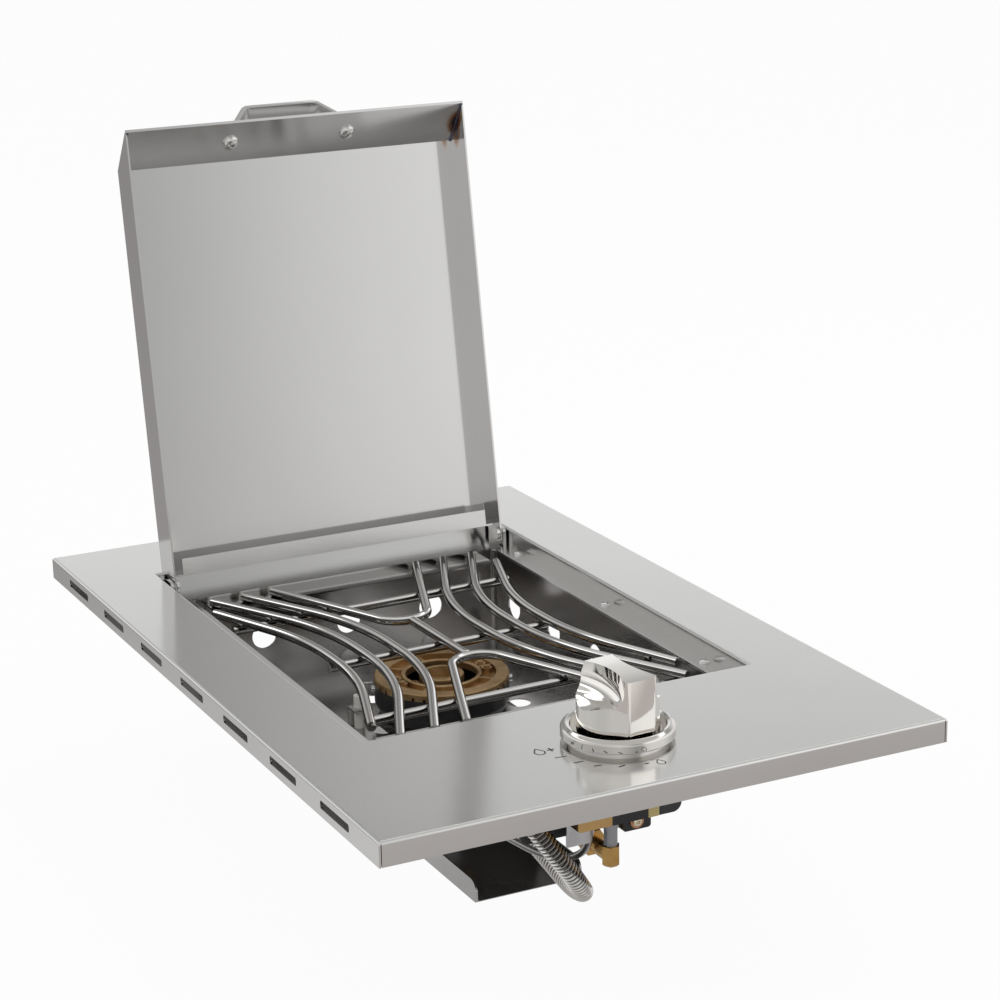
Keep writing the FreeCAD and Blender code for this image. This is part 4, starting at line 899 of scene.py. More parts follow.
@dataclass
class TopPlate:
    """Folded plate with the dark marks round the knob."""

    top: float = 0.015
    print_high: float = 0.00006
    steel: BrushedSteel = BrushedSteel("plate_steel", (0.74, 0.738, 0.73), 0.15)
    # Painted shade: its colour, then the spans that find the faces behind the flange and under the top.
    shade: Colour = (0.16, 0.15, 0.145)
    behind: Pair = (-0.165, -0.150)
    under: Pair = (-0.6, -0.3)
    bars: tuple[tuple[float, float, float, float, float], ...] = (
        (-46.8, -226.4, -39.4, -227.1, 0.9),
        (-40.9, -238.4, -34.8, -238.4, 1.1),
        (-33.2, -247.9, -28.5, -248.8, 1.2),
        (-21.5, -256.1, -17.1, -255.2, 1.3),
        (-6.7, -259.3, -3.8, -259.3, 1.2),
    )
    flames: tuple[tuple[Pair, float], ...] = (
        ((-0.0506, -0.2142), 0.0046), ((0.0029, -0.2613), 0.0036),
    )
    flame_line: float = 0.2
    flame_shape: Point = (0.80, 0.55, 0.25)
    plus: Pair = (-0.0432, -0.2140)
    plus_half: Pair = (0.0024, 0.0028)
    plus_wide: float = 0.0011

    def build(self) -> None:
        """Dresses the plate and adds its marks."""
        dress(["top_plate"], self.sheet())
        ink = Coated("mark_ink", (0.035, 0.035, 0.038), 0.55, dust=0.01).material()
        marks = bmesh.new()
        for left, front, right, back, wide in self.bars:
            self.bar(marks, Vector((left, front)) * MM, Vector((right, back)) * MM, wide * MM)
        for centre, size in self.flames:
            self.flame(marks, Vector(centre), size)
        plus = Vector(self.plus)
        for half in (Vector((self.plus_half[0], 0)), Vector((0, self.plus_half[1]))):
            self.bar(marks, plus - half, plus + half, self.plus_wide)
        finish_piece(marks, "knob_marks", Body.FRAME, ink, smooth=0.0)

    def sheet(self) -> Material:
        """Builds the plate's finish, with painted shade on the faces behind the flange and under the top.

        Returns:
            The material.
        """
        shader = self.steel.shader()
        behind = shader.span(shader.outward(), 1.0, 0.0, *self.behind)
        under = shader.span(shader.facing()["Z"], 1.0, 0.0, *self.under)
        # Painted shade on the faces behind the flange and under the top.
        painted_shade = shader.maths("MAXIMUM", behind, under)
        shader.set("Base Color", shader.mix(painted_shade, shader.colour(), self.shade))
        return shader.material

    def bar(self, marks: Mesh, start: Vector, end: Vector, wide: float) -> None:
        """Adds one printed line.

        Args:
            marks: Mesh that takes it.
            start: One end on the plate.
            end: Other end on the plate.
            wide: Width of the line.
        """
        along = end - start
        middle = Matrix.Translation((*((start + end) / 2), self.top + self.print_high / 2))
        spun = Matrix.Rotation(math.atan2(along.y, along.x), 4, "Z")
        add_box(marks, (along.length, wide, self.print_high), middle @ spun)

    def flame(self, marks: Mesh, centre: Vector, size: float) -> None:
        """Adds a small flame drawn as an outline.

        Args:
            marks: Mesh that takes it.
            centre: Its middle on the plate.
            size: Half its height.
        """
        level = self.top + self.print_high / 2
        shape = bmesh.ops.create_circle(marks, cap_ends=True, segments=20, radius=size)["verts"]
        wide, pinch, lift = self.flame_shape
        for vertex in shape:
            up = max(0.0, vertex.co.y / size)
            vertex.co.x *= wide * (1 - pinch * up)
            vertex.co.y *= 1.0 + lift * up
        bmesh.ops.translate(marks, vec=(*centre, level), verts=shape)
        face = shape[0].link_faces[0]
        bmesh.ops.inset_region(
            marks, faces=[face], thickness=size * self.flame_line, use_boundary=True, use_even_offset=True,
        )
        bmesh.ops.delete(marks, geom=[face], context="FACES")


@dataclass
class CookTub:
    """Tub, its shelves and the screws that hold it to the ledge."""

    sheet: BrushedSteel = BrushedSteel(
        "tub_sheet", (0.48, 0.47, 0.46), 0.15, Grain.ACROSS, 0.0, mark_depth=0.0, cloud_share=0.07,
    )
    ledge: float = 0.003
    screw: CrossScrew = field(default_factory=lambda: CrossScrew(0.004, 0.002))
    screw_x: float = 0.1255
    screw_y: tuple[float, ...] = (-0.1045, 0.0268, 0.1581)
    screw_turn: Pair = (0.7, 9.0)

    def build(self) -> None:
        """Dresses the tub and adds its cross recess screws."""
        dress(["burner_tub", "grate_rest_front", "grate_rest_rear"], self.sheet.material())
        places = []
        for side in (-1, 1):
            for along in self.screw_y:
                spun = Matrix.Rotation(self.screw_turn[0] * side + self.screw_turn[1] * along, 4, "Z")
                places.append(Matrix.Translation((side * self.screw_x, along, self.ledge)) @ spun)
        heads = self.screw.repeat(places)
        bright = Polished("screw_bright", (0.66, 0.66, 0.65), 0.16).material()
        screws = finish_piece(heads, "ledge_screw_heads", Body.FRAME, bright)
        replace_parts(screws, "tub_ledge_screws")
        dress(["bowl_side_screws", "tray_screws"], bright)


@dataclass
class RodGrate:
    """Rods of the loose grate, with painted reflections along their length: painted highlights, and dark
    bands for the mirrored well, by how far each face points up.
    """

    roughness: float = 0.085
    # Painted reflections: bright bands are painted highlights, dark bands the painted reflection of the dark
    # well.
    painted_reflection_bands: Stops = (
        (0.30, (0.12, 0.115, 0.11)), (0.40, (0.52, 0.51, 0.50)),
        (0.50, (0.86, 0.85, 0.83)), (0.58, (0.60, 0.59, 0.57)),
        (0.63, (0.075, 0.072, 0.07)), (0.77, (0.075, 0.072, 0.07)),
        (0.83, (0.92, 0.91, 0.89)), (0.93, (0.97, 0.96, 0.94)),
        (0.98, (0.42, 0.41, 0.40)),
    )
    rods: tuple[str, ...] = (
        "grate_outer_rods", "grate_second_rods", "grate_third_rods",
        "grate_v_rods", "grate_centre_rod", "grate_cross_rods",
    )

    def build(self) -> None:
        """Dresses the rods."""
        shader = Shader("rod_steel_painted_reflections", (0.64, 0.63, 0.61), self.roughness, 1.0)
        # Painted highlights and painted reflections, by which way each face points.
        up = shader.span(shader.facing()["Z"], 0.0, 1.0, -1.0, 1.0)
        shader.set("Base Color", shader.ramp(up, self.painted_reflection_bands))
        dress(self.rods, shader.material)


@dataclass
class Burner:
    """Cast brass head over its black bowl, with the spark electrode."""

    def build(self) -> None:
        """Dresses the burner's parts."""
        cast = CastMetal("cast_brass", (0.66, 0.46, 0.25), (0.44, 0.29, 0.14), 0.46)
        dress(["burner_head", "burner_hub", "burner_posts", "head_screws"], cast.material())
        enamel = Coated("bowl_enamel", (0.012, 0.012, 0.013), 0.35, skin_depth=0.00008)
        dress(["burner_bowl"], enamel.material())
        dress(["igniter_ceramic"], Coated("ceramic", (0.80, 0.78, 0.73), 0.2, gloss=0.6).material())
        bright = Polished("spark_steel", (0.60, 0.59, 0.58), 0.2).material()
        dress(["igniter_wire", "igniter_bracket"], bright)


@dataclass
class ControlKnob:
    """Polished knob in its bezel: a turned body with a flat nose, hollowed on both sides to a grip bar."""

    nickel: Colour = (0.93, 0.905, 0.865)
    dull_nickel: Colour = (0.72, 0.70, 0.67)
    axis: Point = (0.0, -0.2165, 0.015)
    turn: float = 5.0
    round: float = 0.0245
    foot: float = 0.0056
    crown: float = 0.0443
    crown_bow: float = 0.300
    nose: float = 0.025
    nose_half: float = 0.0090
    nose_bow: float = 0.0004
    bow_reach: float = 0.34
    facet: Pair = (0.0155, 0.019)
    back_point: Point = (0, 0.0199, 0.0435)
    back_facing: Point = (0, 0.140, 0.046)
    scoop: float = 0.062
    sweep: int = 110
    spare: float = 0.004
    sides: int = 180
    drum_sides: int = 720
    drum_long: float = 0.1
    edge: float = 0.00028
    joined: float = 5e-6
    smallest: float = 2e-6
    hollow: tuple[Pair, ...] = (
        (6.5, 50.0), (6.5, 38.5), (6.8, 35.0), (7.5, 32.0), (8.8, 29.6), (10.6, 27.9), (13.0, 27.0),
        (16.0, 26.7), (18.8, 26.2), (21.2, 25.1), (23.2, 23.6), (25.5, 21.4), (30.0, 17.0), (30.0, 50.0),
    )

    def build(self) -> None:
        """Adds the knob in place of its solid, and dresses its bezel and the stem."""
        bright = Polished("nickel", self.nickel, 0.05, 0.02, wave_depth=0.00003).material()
        dress(["valve_spindle"], bright)
        dress(["knob_bezel"], Polished("bezel_nickel", self.dull_nickel, 0.08, 0.02).material())
        knob = self.blank()
        for side in (-1, 1):
            knob = carve(knob, self.hollow_tool(side), "DIFFERENCE")
        knob = carve(knob, self.crown_tool(), "INTERSECT")
        bmesh.ops.remove_doubles(knob, verts=knob.verts, dist=self.joined)
        bmesh.ops.dissolve_degenerate(knob, edges=knob.edges, dist=self.smallest)
        bmesh.ops.recalc_face_normals(knob, faces=knob.faces)
        place = Matrix.Translation(self.axis) @ Matrix.Rotation(math.radians(self.turn), 4, "Z")
        bmesh.ops.transform(knob, matrix=place, verts=knob.verts)
        piece = finish_piece(knob, "turned_knob", Body.KNOB, bright)
        self.ease(piece)
        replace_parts(piece, "knob")

    def outline(self, direction: Vector) -> float:
        """Distance of the knob's side from its axis.

        Args:
            direction: Unit direction in the plane of the plate.

        Returns:
            The distance, in metres.
        """
        corner = Vector(self.facet)
        ahead = -direction.y
        if math.atan2(abs(direction.x), ahead) > math.atan2(corner.x, corner.y):
            return self.round
        inner = Vector((self.nose_half, self.nose))
        normal = Vector((inner.y - corner.y, corner.x - inner.x)).normalized()
        slant = normal.dot(inner) / normal.dot(Vector((abs(direction.x), ahead)))
        bowed = (self.nose + self.nose_bow * (1 - (direction.x / self.bow_reach) ** 2)) / ahead
        return max(self.round, min(slant, bowed))

    def blank(self) -> Mesh:
        """Builds the body before it is hollowed, round the Z axis.

        Returns:
            The body, higher than the finished crown.
        """
        mesh = bmesh.new()
        rim = bmesh.ops.create_circle(mesh, cap_ends=True, segments=self.sides, radius=1.0)["verts"]
        for vertex in rim:
            direction = Vector((vertex.co.x, vertex.co.y)).normalized()
            vertex.co = (*(direction * self.outline(direction)), self.foot)
        thicken(mesh, (0, 0, self.crown + self.spare - self.foot))
        bmesh.ops.bisect_plane(
            mesh, geom=all_of(mesh), plane_co=self.back_point, plane_no=self.back_facing, clear_outer=True,
        )
        close(mesh)
        return mesh

    def hollow_tool(self, side: int) -> Mesh:
        """Builds the ring that hollows one side.

        Args:
            side: -1 for the left side and 1 for the right one.

        Returns:
            The tool.
        """
        mesh = bmesh.new()
        centre = side * (self.scoop + self.hollow[0][0] * MM)
        ring = [mesh.verts.new((side * across * MM, 0, up * MM)) for across, up in self.hollow]
        mesh.faces.new(ring)
        bmesh.ops.spin(
            mesh, geom=all_of(mesh), cent=(centre, 0, 0), axis=(0, 0, 1), angle=math.radians(self.sweep),
            steps=self.sweep,
        )
        back = Matrix.Rotation(-math.radians(self.sweep / 2), 3, "Z")
        bmesh.ops.rotate(mesh, cent=(centre, 0, 0), matrix=back, verts=mesh.verts)
        bmesh.ops.recalc_face_normals(mesh, faces=mesh.faces)
        return mesh

    def crown_tool(self) -> Mesh:
        """Builds the wide drum whose top gives the grip bar its low crown.

        Returns:
            The drum, lying along X.
        """
        mesh = bmesh.new()
        low = Matrix.Translation((0, 0, self.crown - self.crown_bow))
        lying = Matrix.Rotation(math.pi / 2, 4, "Y")
        add_cylinder(mesh, self.drum_sides, self.crown_bow, self.drum_long, low @ lying)
        return mesh

    def ease(self, piece: bpy.types.Object) -> None:
        """Takes the sharpness off the knob's edges.

        Args:
            piece: The knob.
        """
        eased = piece.modifiers.new("eased_edges", "BEVEL")
        eased.width = self.edge
        eased.segments = 2
        eased.limit_method = "ANGLE"
        eased.angle_limit = math.radians(28)


@dataclass
class GasValve:
    """Valve, its bracket and the fittings that show under the plate's front."""

    screw: CrossScrew = field(default_factory=lambda: CrossScrew(0.0032, 0.0019, 0.62))
    screw_place: Point = (0.019, -0.2052, -0.0462)
    screw_spin: float = 0.5
    screw_sunk: float = 0.0002
    washer: float = 0.0046
    washer_thick: float = 0.0012
    washer_edge: float = 0.0003
    shank: float = 0.002
    shank_long: float = 0.014
    shank_middle: float = 0.008
    # X at which the painted shade of the bracket starts on the body.
    bracket_shade_x: Pair = (-0.0105, -0.0100)
    ear_x: Pair = (0.0138, 0.0142)
    ear_z: Pair = (-0.0365, -0.0355)
    finishes: tuple[tuple[CastMetal | Coated, tuple[str, ...]], ...] = (
        (CastMetal("turned_brass", (0.72, 0.46, 0.17), (0.55, 0.33, 0.11), 0.24, skin_depth=0.00002),
         ("valve_bonnet", "valve_plug", "hose_nut_valve", "hose_nut_burner", "inlet_elbow", "inlet_nut",
          "burner_inlet")),
        (CastMetal("grey_zinc", (0.40, 0.41, 0.43), (0.28, 0.29, 0.31), 0.38, skin_depth=0.00003),
         ("inlet_pipe",)),
        (CastMetal("bright_zinc", (0.70, 0.71, 0.73), (0.50, 0.51, 0.54), 0.26, skin_depth=0.00004,
                   skin_scale=300.0), ("module_clip",)),
        (Coated("bracket_paint", (0.018, 0.018, 0.02), 0.35), ("valve_bracket",)),
        (Coated("module_plastic", (0.02, 0.02, 0.022), 0.42), ("piezo_module",)),
    )

    def build(self) -> None:
        """Dresses the gas fittings and adds the screw that holds the valve to its bracket."""
        dress(["gas_valve_body"], self.body_finish())
        self.holding_screw()
        for finish, nodes in self.finishes:
            dress(nodes, finish.material())

    def body_finish(self) -> Material:
        """Builds the valve's finish: brass at its outlet, black painted shade in the middle where the black
        bracket stands in front, yellow zinc at its ear.

        Returns:
            The material.
        """
        shader = Shader("valve_skin", (0.6, 0.4, 0.2), 0.28, 1.0)
        place = shader.parts(shader.place())
        stain = shader.noise(shader.place(), 70.0)
        brass = shader.mix(stain, (0.52, 0.33, 0.14), (0.74, 0.50, 0.22))
        yellow = shader.mix(stain, (0.50, 0.42, 0.20), (0.70, 0.60, 0.30))
        beside = shader.span(place["X"], 0.0, 1.0, *self.ear_x)
        ear = shader.maths("MULTIPLY", beside, shader.span(place["Z"], 0.0, 1.0, *self.ear_z))
        # Painted shade: the body turns black where the black bracket stands in front of it.
        painted = shader.span(place["X"], 0.0, 1.0, *self.bracket_shade_x)
        dark = shader.maths("SUBTRACT", painted, ear)
        shader.set("Base Color", shader.mix(dark, shader.mix(ear, brass, yellow), (0.02, 0.02, 0.022)))
        shader.set("Metallic", shader.span(dark, 1.0, 0.0))
        return shader.material

    def holding_screw(self) -> None:
        """Adds the cross recess screw and its washer."""
        ahead = Matrix.Translation(self.screw_place) @ Matrix.Rotation(math.pi / 2, 4, "X")
        shiny = Polished("screw_yellow", (0.86, 0.78, 0.60), 0.12).material()
        spun = Matrix.Translation((0, 0, -self.screw_sunk)) @ Matrix.Rotation(self.screw_spin, 4, "Z")
        heads = self.screw.repeat([ahead @ spun])
        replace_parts(finish_piece(heads, "valve_screw_head", Body.FRAME, shiny), "valve_screws")
        ring = bmesh.new()
        under = Matrix.Translation((0, 0, -self.washer_thick / 2))
        add_cylinder(ring, 40, self.washer, self.washer_thick, under)
        rims = [edge for edge in ring.edges if edge.calc_face_angle(0.0) > 1.0]
        bmesh.ops.bevel(
            ring, geom=rims, offset=self.washer_edge, segments=2, profile=0.5, affect="EDGES", material=-1,
        )
        add_cylinder(ring, 24, self.shank, self.shank_long, Matrix.Translation((0, 0, -self.shank_middle)))
        bmesh.ops.transform(ring, matrix=ahead, verts=ring.verts)
        red = CastMetal("washer_zinc", (0.66, 0.36, 0.20), (0.50, 0.20, 0.14), 0.25, skin_depth=0.00002)
        finish_piece(ring, "valve_washer", Body.FRAME, red.material())


@dataclass
class GasHose:
    """Corrugated stainless hose from the valve down into the tray and up to the jet holder."""

    crest: float = 0.00625
    root: float = 0.0047
    pitch: float = 0.0031
    cuff: float = 0.0125
    # Painted shade in the grooves, then the steel's colour on the ribs.
    groove_shade: Colour = (0.10, 0.097, 0.092)
    bright: Colour = (0.74, 0.725, 0.70)
    rib_span: Pair = (-0.2, 0.75)
    route: Route = field(default_factory=lambda: Route("gas_hose_route", HOSE_POINTS))

    def radius(self, along: float, length: float) -> float:
        """Works out the radius at a length along the hose, plain at both cuffs.

        Args:
            along: Length from the start of the hose.
            length: Length of the whole hose.

        Returns:
            The radius, in metres.
        """
        if not self.cuff < along < length - self.cuff:
            return self.crest
        wave = 0.5 + 0.5 * math.cos(self.turning(length) * (along - self.cuff))
        return self.root + (self.crest - self.root) * wave ** 1.5

    def turning(self, length: float) -> float:
        """Angle that the wave of the ribs turns through in a metre of a hose of this length."""
        ribbed = length - 2 * self.cuff
        return math.tau * int(ribbed / self.pitch) / ribbed

    def finish(self, length: float) -> Material:
        """Builds the hose's finish, bright steel on the ribs and painted shade in the grooves between them.

        Args:
            length: Length of the whole hose.

        Returns:
            The material, laid over the hose's own UV map.
        """
        shader = Shader("hose_steel_groove_shade", (0.66, 0.645, 0.62), 0.16, 1.0)
        along = shader.parts(shader.node("ShaderNodeUVMap").outputs[0])["Y"]
        turns = shader.maths("MULTIPLY", shader.maths("SUBTRACT", along, self.cuff), self.turning(length))
        # Painted shade: dark in the grooves, steel on the crests.
        crest = shader.span(shader.maths("COSINE", turns), 0.0, 1.0, *self.rib_span)
        shader.set("Base Color", shader.mix(crest, self.groove_shade, self.bright))
        return shader.material

    def build(self) -> None:
        """Adds the ribbed hose in place of its solid."""
        mesh, line, length = Sleeve(self.route, self.radius, self.pitch / 8, 28).build()
        hose = finish_piece(mesh, "gas_hose", Body.FRAME, self.finish(length))
        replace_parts(hose, "flexible_hose")


@dataclass
class IgniterLead:
    """Braided lead from the spark maker to the electrode."""

    thick: float = 0.00225
    route: Route = field(default_factory=lambda: Route("igniter_lead_route", LEAD_POINTS))

    def build(self) -> None:
        """Adds the braided lead in place of its solid."""
        mesh, line, length = Sleeve(self.route, lambda along, whole: self.thick, 0.0016, 20).build()
        braid = Braid("lead_sleeve", (0.62, 0.62, 0.62)).material()
        lead = finish_piece(mesh, "spark_lead", Body.FRAME, braid)
        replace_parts(lead, "igniter_lead")


@dataclass
class HeatTray:
    """Folded channel below the burner, with painted shade inside and bright steel outside."""

    # Painted shade for the faces inside the channel, then the steel outside.
    inside: tuple[Colour, Colour] = ((0.034, 0.032, 0.031), (0.056, 0.052, 0.050))
    outside: tuple[Colour, Colour] = ((0.46, 0.45, 0.44), (0.60, 0.59, 0.58))
    roughness: Pair = (0.13, 0.24)
    side_span: Pair = (-0.004, 0.0)
    up_span: Pair = (0.3, 0.6)

    def build(self) -> None:
        """Dresses the tray, with painted shade where its faces look into the channel."""
        shader = Shader("tray_sheet_painted_shade", (0.50, 0.49, 0.48), 0.2, 1.0)
        side = shader.span(shader.outward(), 1.0, 0.0, *self.side_span)
        up = shader.span(shader.facing()["Z"], 0.0, 1.0, *self.up_span)
        # Painted shade where the faces look into the channel; there the metal is turned off too.
        inside = shader.maths("MAXIMUM", side, up)
        stain = shader.noise(shader.place(), 40.0)
        bright, dark = (shader.mix(stain, *colours) for colours in (self.outside, self.inside))
        shader.set("Base Color", shader.mix(inside, bright, dark))
        shader.set("Metallic", shader.span(inside, 1.0, 0.0))
        shader.set("Roughness", shader.span(stain, *self.roughness))
        dress(["heat_tray"], shader.material)


@dataclass
class Lid:
    """Open lid with its welded corners, handle and hinge."""

    half: float = 0.127
    sheet: float = 0.0012
    bead: float = 0.0011
    beads: int = 24
    screw: CrossScrew = field(default_factory=lambda: CrossScrew(0.0058, 0.0034, 0.6))
    screw_x: float = 0.044
    screw_turn: Pair = (0.5, 0.6)
    shift: float = -0.004
    toe: float = 0.053
    heel: float = 0.043
    grip: float = 0.026
    off: float = 0.021
    thick: float = 0.003
    wide: float = 0.020
    bend: float = 0.0035
    strap_edge: float = 0.0004
    weld_inner: Pair = (-0.2877, 0.0203)
    weld_outer: Pair = (-0.3137, -0.0040)
    swell: float = 0.12
    swell_step: float = 2.3
    flat: float = 0.8

    def corner(self, side: int) -> tuple[Vector, Vector]:
        """Inner and outer end of the left (-1) or right (1) welded corner, in the row frame."""
        across = side * (self.half - self.sheet)
        return tuple(lean_of_lid() @ Vector((across, *end)) for end in (self.weld_inner, self.weld_outer))

    def build(self) -> None:
        """Dresses the lid and adds its screws and weld beads."""
        sheet = BrushedSteel("lid_sheet", (0.68, 0.675, 0.67), 0.12, Grain.UPRIGHT, 0.5, (0.0, 0.158, 0.987))
        inner, outer = self.corner(1)
        dress(["lid_shell"], TintedSteel(sheet, tuple((inner + outer) / 2)).material())
        plain = BrushedSteel("handle_steel", (0.60, 0.60, 0.59), 0.2, Grain.ACROSS, 0.3).material()
        dress(["hinge_tab_left", "hinge_tab_right"], plain)
        self.handle(plain)
        bright = Polished("lid_screw_bright", (0.72, 0.72, 0.71), 0.08).material()
        dress(["pivot_bolts"], bright)
        self.screws(bright)
        self.welds()

    def handle(self, steel: Material) -> None:
        """Adds the handle, a flat strap bent to a low arch on the slanted front.

        Args:
            steel: Its finish.
        """
        out = 0.6 * self.thick
        half = (
            (self.grip, self.off), (self.heel, 0.0), (self.toe, 0.0), (self.toe, self.thick),
            (self.heel + out, self.thick), (self.grip + out, self.off + self.thick),
        )
        mesh = bmesh.new()
        outline = [*half, *((-across, up) for across, up in reversed(half))]
        ring = [mesh.verts.new((across, -self.wide / 2, up)) for across, up in outline]
        mesh.faces.new(ring)
        bends = [vertex for vertex in ring if abs(vertex.co.x) < self.toe - MM]
        bmesh.ops.bevel(
            mesh, geom=bends, offset=self.bend, segments=6, profile=0.5, affect="VERTICES", material=-1,
        )
        thicken(mesh, (0, self.wide, 0))
        bmesh.ops.recalc_face_normals(mesh, faces=mesh.faces)
        sharp = [edge for edge in mesh.edges if edge.calc_face_angle(0.0) > math.radians(50)]
        bmesh.ops.bevel(
            mesh, geom=sharp, offset=self.strap_edge, segments=2, profile=0.5, affect="EDGES", material=-1,
        )
        place = front_of_lid() @ Matrix.Translation((self.shift, 0, 0))
        bmesh.ops.transform(mesh, matrix=place, verts=mesh.verts)
        strap = finish_piece(mesh, "handle_strap", Body.LID, steel)
        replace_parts(strap, "lid_handle")

    def screws(self, bright: Material) -> None:
        """Adds the two screws inside the slanted front.

        Args:
            bright: Their finish.
        """
        places = []
        first, turn = self.screw_turn
        for side in (-1, 1):
            inside = Matrix.Translation((self.shift + side * self.screw_x, 0, -self.sheet))
            spun = Matrix.Rotation(math.pi, 4, "X") @ Matrix.Rotation(first + turn * side, 4, "Z")
            places.append(front_of_lid() @ inside @ spun)
        heads = finish_piece(self.screw.repeat(places), "handle_screw_heads", Body.LID, bright)
        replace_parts(heads, "handle_screws")

    def welds(self) -> None:
        """Adds a bead of overlapping drops along both welded corners."""
        metal = CastMetal("weld_metal", (0.16, 0.17, 0.24), (0.07, 0.055, 0.06), 0.26, skin_depth=0.00005)
        mesh = bmesh.new()
        for side in (-1, 1):
            inner, outer = self.corner(side)
            spun = Vector((0, 0, 1)).rotation_difference(outer - inner).to_matrix().to_4x4()
            for index in range(self.beads):
                size = self.bead * (1.0 + self.swell * math.sin(self.swell_step * index))
                middle = Matrix.Translation(inner.lerp(outer, (index + 0.5) / self.beads))
                place = middle @ spun @ Matrix.Diagonal((size, size, size * self.flat, 1))
                bmesh.ops.create_icosphere(mesh, subdivisions=2, radius=1.0, matrix=place)
        finish_piece(mesh, "corner_welds", Body.LID, metal.material())


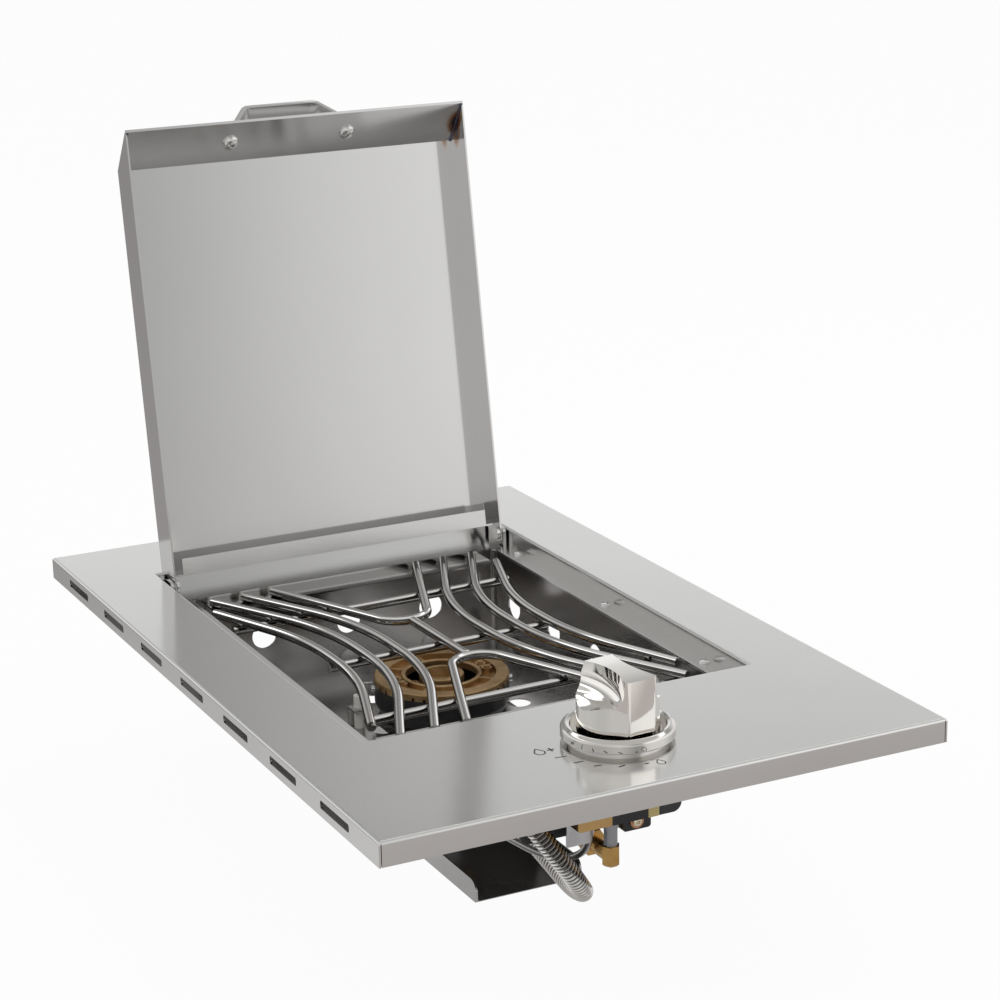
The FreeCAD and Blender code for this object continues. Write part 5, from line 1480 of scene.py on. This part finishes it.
@dataclass
class Studio:
    """Plain pale floor, white backdrop, soft lamps and the camera."""

    floor: float = -0.1294
    target: Point = (0.158956, 0.252727, 0.015)
    azimuth: float = -26.379
    elevation: float = 16.534
    distance: float = 2.00377
    roll: float = -1.137
    lens: float = 94.69
    lamps: tuple[tuple[str, Point, Point, float, float], ...] = (
        ("key_softbox", (1.1, 0.3, 1.9), (0, 0.1, 0), 1.6, 26),
        ("fill_softbox", (-1.9, -0.6, 1.3), (0, 0, 0), 1.3, 10),
    )
    white_share: float = 0.96
    mirror_share: float = 0.75
    back_span: Pair = (-0.3, 0.3)
    ceiling_span: Pair = (0.6, 0.8)
    soft_light: Colour = (0.75, 0.75, 0.75)
    ceiling: Colour = (0.60, 0.595, 0.59)
    room_back: Stops = (
        (0.0, (0.6, 0.6, 0.6)), (0.60, (0.98, 0.98, 0.99)),
        (0.645, (0.885, 0.885, 0.885)), (0.67, (0.735, 0.735, 0.735)),
        (0.705, (0.62, 0.62, 0.615)), (0.74, (0.42, 0.42, 0.42)),
        (0.80, (0.38, 0.38, 0.38)), (0.82, (2.6, 2.6, 2.6)),
        (0.86, (2.6, 2.6, 2.6)), (0.88, (0.35, 0.35, 0.35)),
    )
    room_front: Stops = (
        (0.0, (0.6, 0.6, 0.6)), (0.30, (0.80, 0.79, 0.78)),
        (0.56, (0.46, 0.46, 0.46)), (0.65, (0.50, 0.50, 0.50)),
        (0.675, (0.70, 0.70, 0.70)), (0.69, (0.85, 0.85, 0.85)),
        (0.72, (1.0, 1.0, 0.995)), (0.80, (1.12, 1.12, 1.11)),
    )
    mirrored_floor: Stops = (
        (0.15, (0.85, 0.83, 0.81)), (0.20, (0.38, 0.35, 0.335)),
        (0.30, (0.41, 0.385, 0.37)), (0.50, (0.70, 0.70, 0.705)),
        (0.85, (0.28, 0.27, 0.27)),
    )

    def build(self) -> None:
        """Builds the surroundings."""
        self.ground()
        self.sky()
        for lamp in self.lamps:
            self.lamp(*lamp)
        self.camera()

    def ground(self) -> None:
        """Adds the floor, white to the camera apart from the object's soft shadow."""
        mesh = bmesh.new()
        bmesh.ops.create_grid(mesh, x_segments=1, y_segments=1, size=12.0)
        bmesh.ops.translate(mesh, vec=(0, 0, self.floor), verts=mesh.verts)
        floor = add_mesh("floor", mesh)
        shader = Shader("pale_floor", (0.60, 0.58, 0.57), 0.9)
        shader.set("Specular IOR Level", 0.0)
        path = shader.node("ShaderNodeLightPath").outputs
        along = shader.span(shader.parts(shader.place())["Y"], 0.0, 1.0, -1.0, 1.0)
        mirrored = shader.glow(shader.ramp(along, self.mirrored_floor))
        seen = shader.maths("MULTIPLY", path["Is Camera Ray"], self.white_share)
        glossy = shader.maths("MULTIPLY", path["Is Glossy Ray"], self.mirror_share)
        plain = shader.blend(seen, shader.surface.outputs[0], shader.glow((1, 1, 1)))
        shader.finish(shader.blend(glossy, plain, mirrored))
        floor.data.materials.append(shader.material)

    def sky(self) -> None:
        """Lights the scene softly, gives the metal a room to mirror and shows white to the camera."""
        world = bpy.data.worlds.new("studio")
        bpy.context.scene.world = world
        world.use_nodes = True
        world.node_tree.nodes.clear()
        sky = Graph(world.node_tree)
        way = sky.parts(sky.node("ShaderNodeTexCoord").outputs["Generated"])
        back = sky.ramp(sky.span(way["Z"], 0.0, 1.0, -1.0, 1.0), self.room_back)
        front = sky.ramp(sky.span(way["X"], 0.0, 1.0, -1.0, 1.0), self.room_front)
        walls = sky.mix(sky.span(way["Y"], 0.0, 1.0, *self.back_span), front, back)
        room = sky.mix(sky.span(way["Z"], 0.0, 1.0, *self.ceiling_span), walls, self.ceiling)
        path = sky.node("ShaderNodeLightPath").outputs
        lit = sky.mix(path["Is Glossy Ray"], self.soft_light, room)
        light = sky.node("ShaderNodeBackground")
        sky.feed(light.inputs["Color"], sky.mix(path["Is Camera Ray"], lit, (1.0, 1.0, 1.0)))
        sky.feed(sky.node("ShaderNodeOutputWorld").inputs[0], light.outputs[0])

    def lamp(self, name: str, place: Point, aim: Point, size: float, power: float) -> None:
        """Adds one soft square lamp.

        Args:
            name: Name of the lamp.
            place: Where it hangs.
            aim: Point that it faces.
            size: Side of the square, in metres.
            power: Power, in watts.
        """
        data = bpy.data.lights.new(name, "AREA")
        data.size = size
        data.energy = power
        lamp = add_object(name, data)
        lamp.location = place
        lamp.rotation_euler = (Vector(place) - Vector(aim)).to_track_quat("Z", "Y").to_euler()
        lamp.visible_camera = False
        lamp.visible_glossy = False

    def camera(self) -> None:
        """Stands the camera at the photograph's viewpoint."""
        around = math.radians(self.azimuth)
        above = math.radians(self.elevation)
        turned = math.radians(self.roll)
        back = Vector((
            math.sin(around) * math.cos(above), -math.cos(around) * math.cos(above), math.sin(above),
        ))
        right = Vector((math.cos(around), math.sin(around), 0.0))
        up = back.cross(right)
        across = math.cos(turned) * right + math.sin(turned) * up
        upright = -math.sin(turned) * right + math.cos(turned) * up
        data = bpy.data.cameras.new("photo_view")
        data.lens = self.lens
        data.sensor_width = 36.0
        data.clip_end = 50.0
        camera = add_object("photo_view", data)
        place = Matrix((across, upright, back)).transposed().to_4x4()
        place.translation = Vector(self.target) + self.distance * back
        camera.matrix_world = place
        bpy.context.scene.camera = camera
        bpy.context.scene.view_settings.view_transform = "Standard"


def main() -> None:
    """Builds every sub-assembly in order."""
    logging.basicConfig(level=logging.INFO, format="%(name)s: %(message)s")
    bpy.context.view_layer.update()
    Studio().build()
    for part in (
        TopPlate(), CookTub(), RodGrate(), Burner(), ControlKnob(), GasValve(), GasHose(), IgniterLead(),
        HeatTray(), Lid(),
    ):
        log.info("building %s", type(part).__name__)
        part.build()


if __name__ == "__main__":
    main()
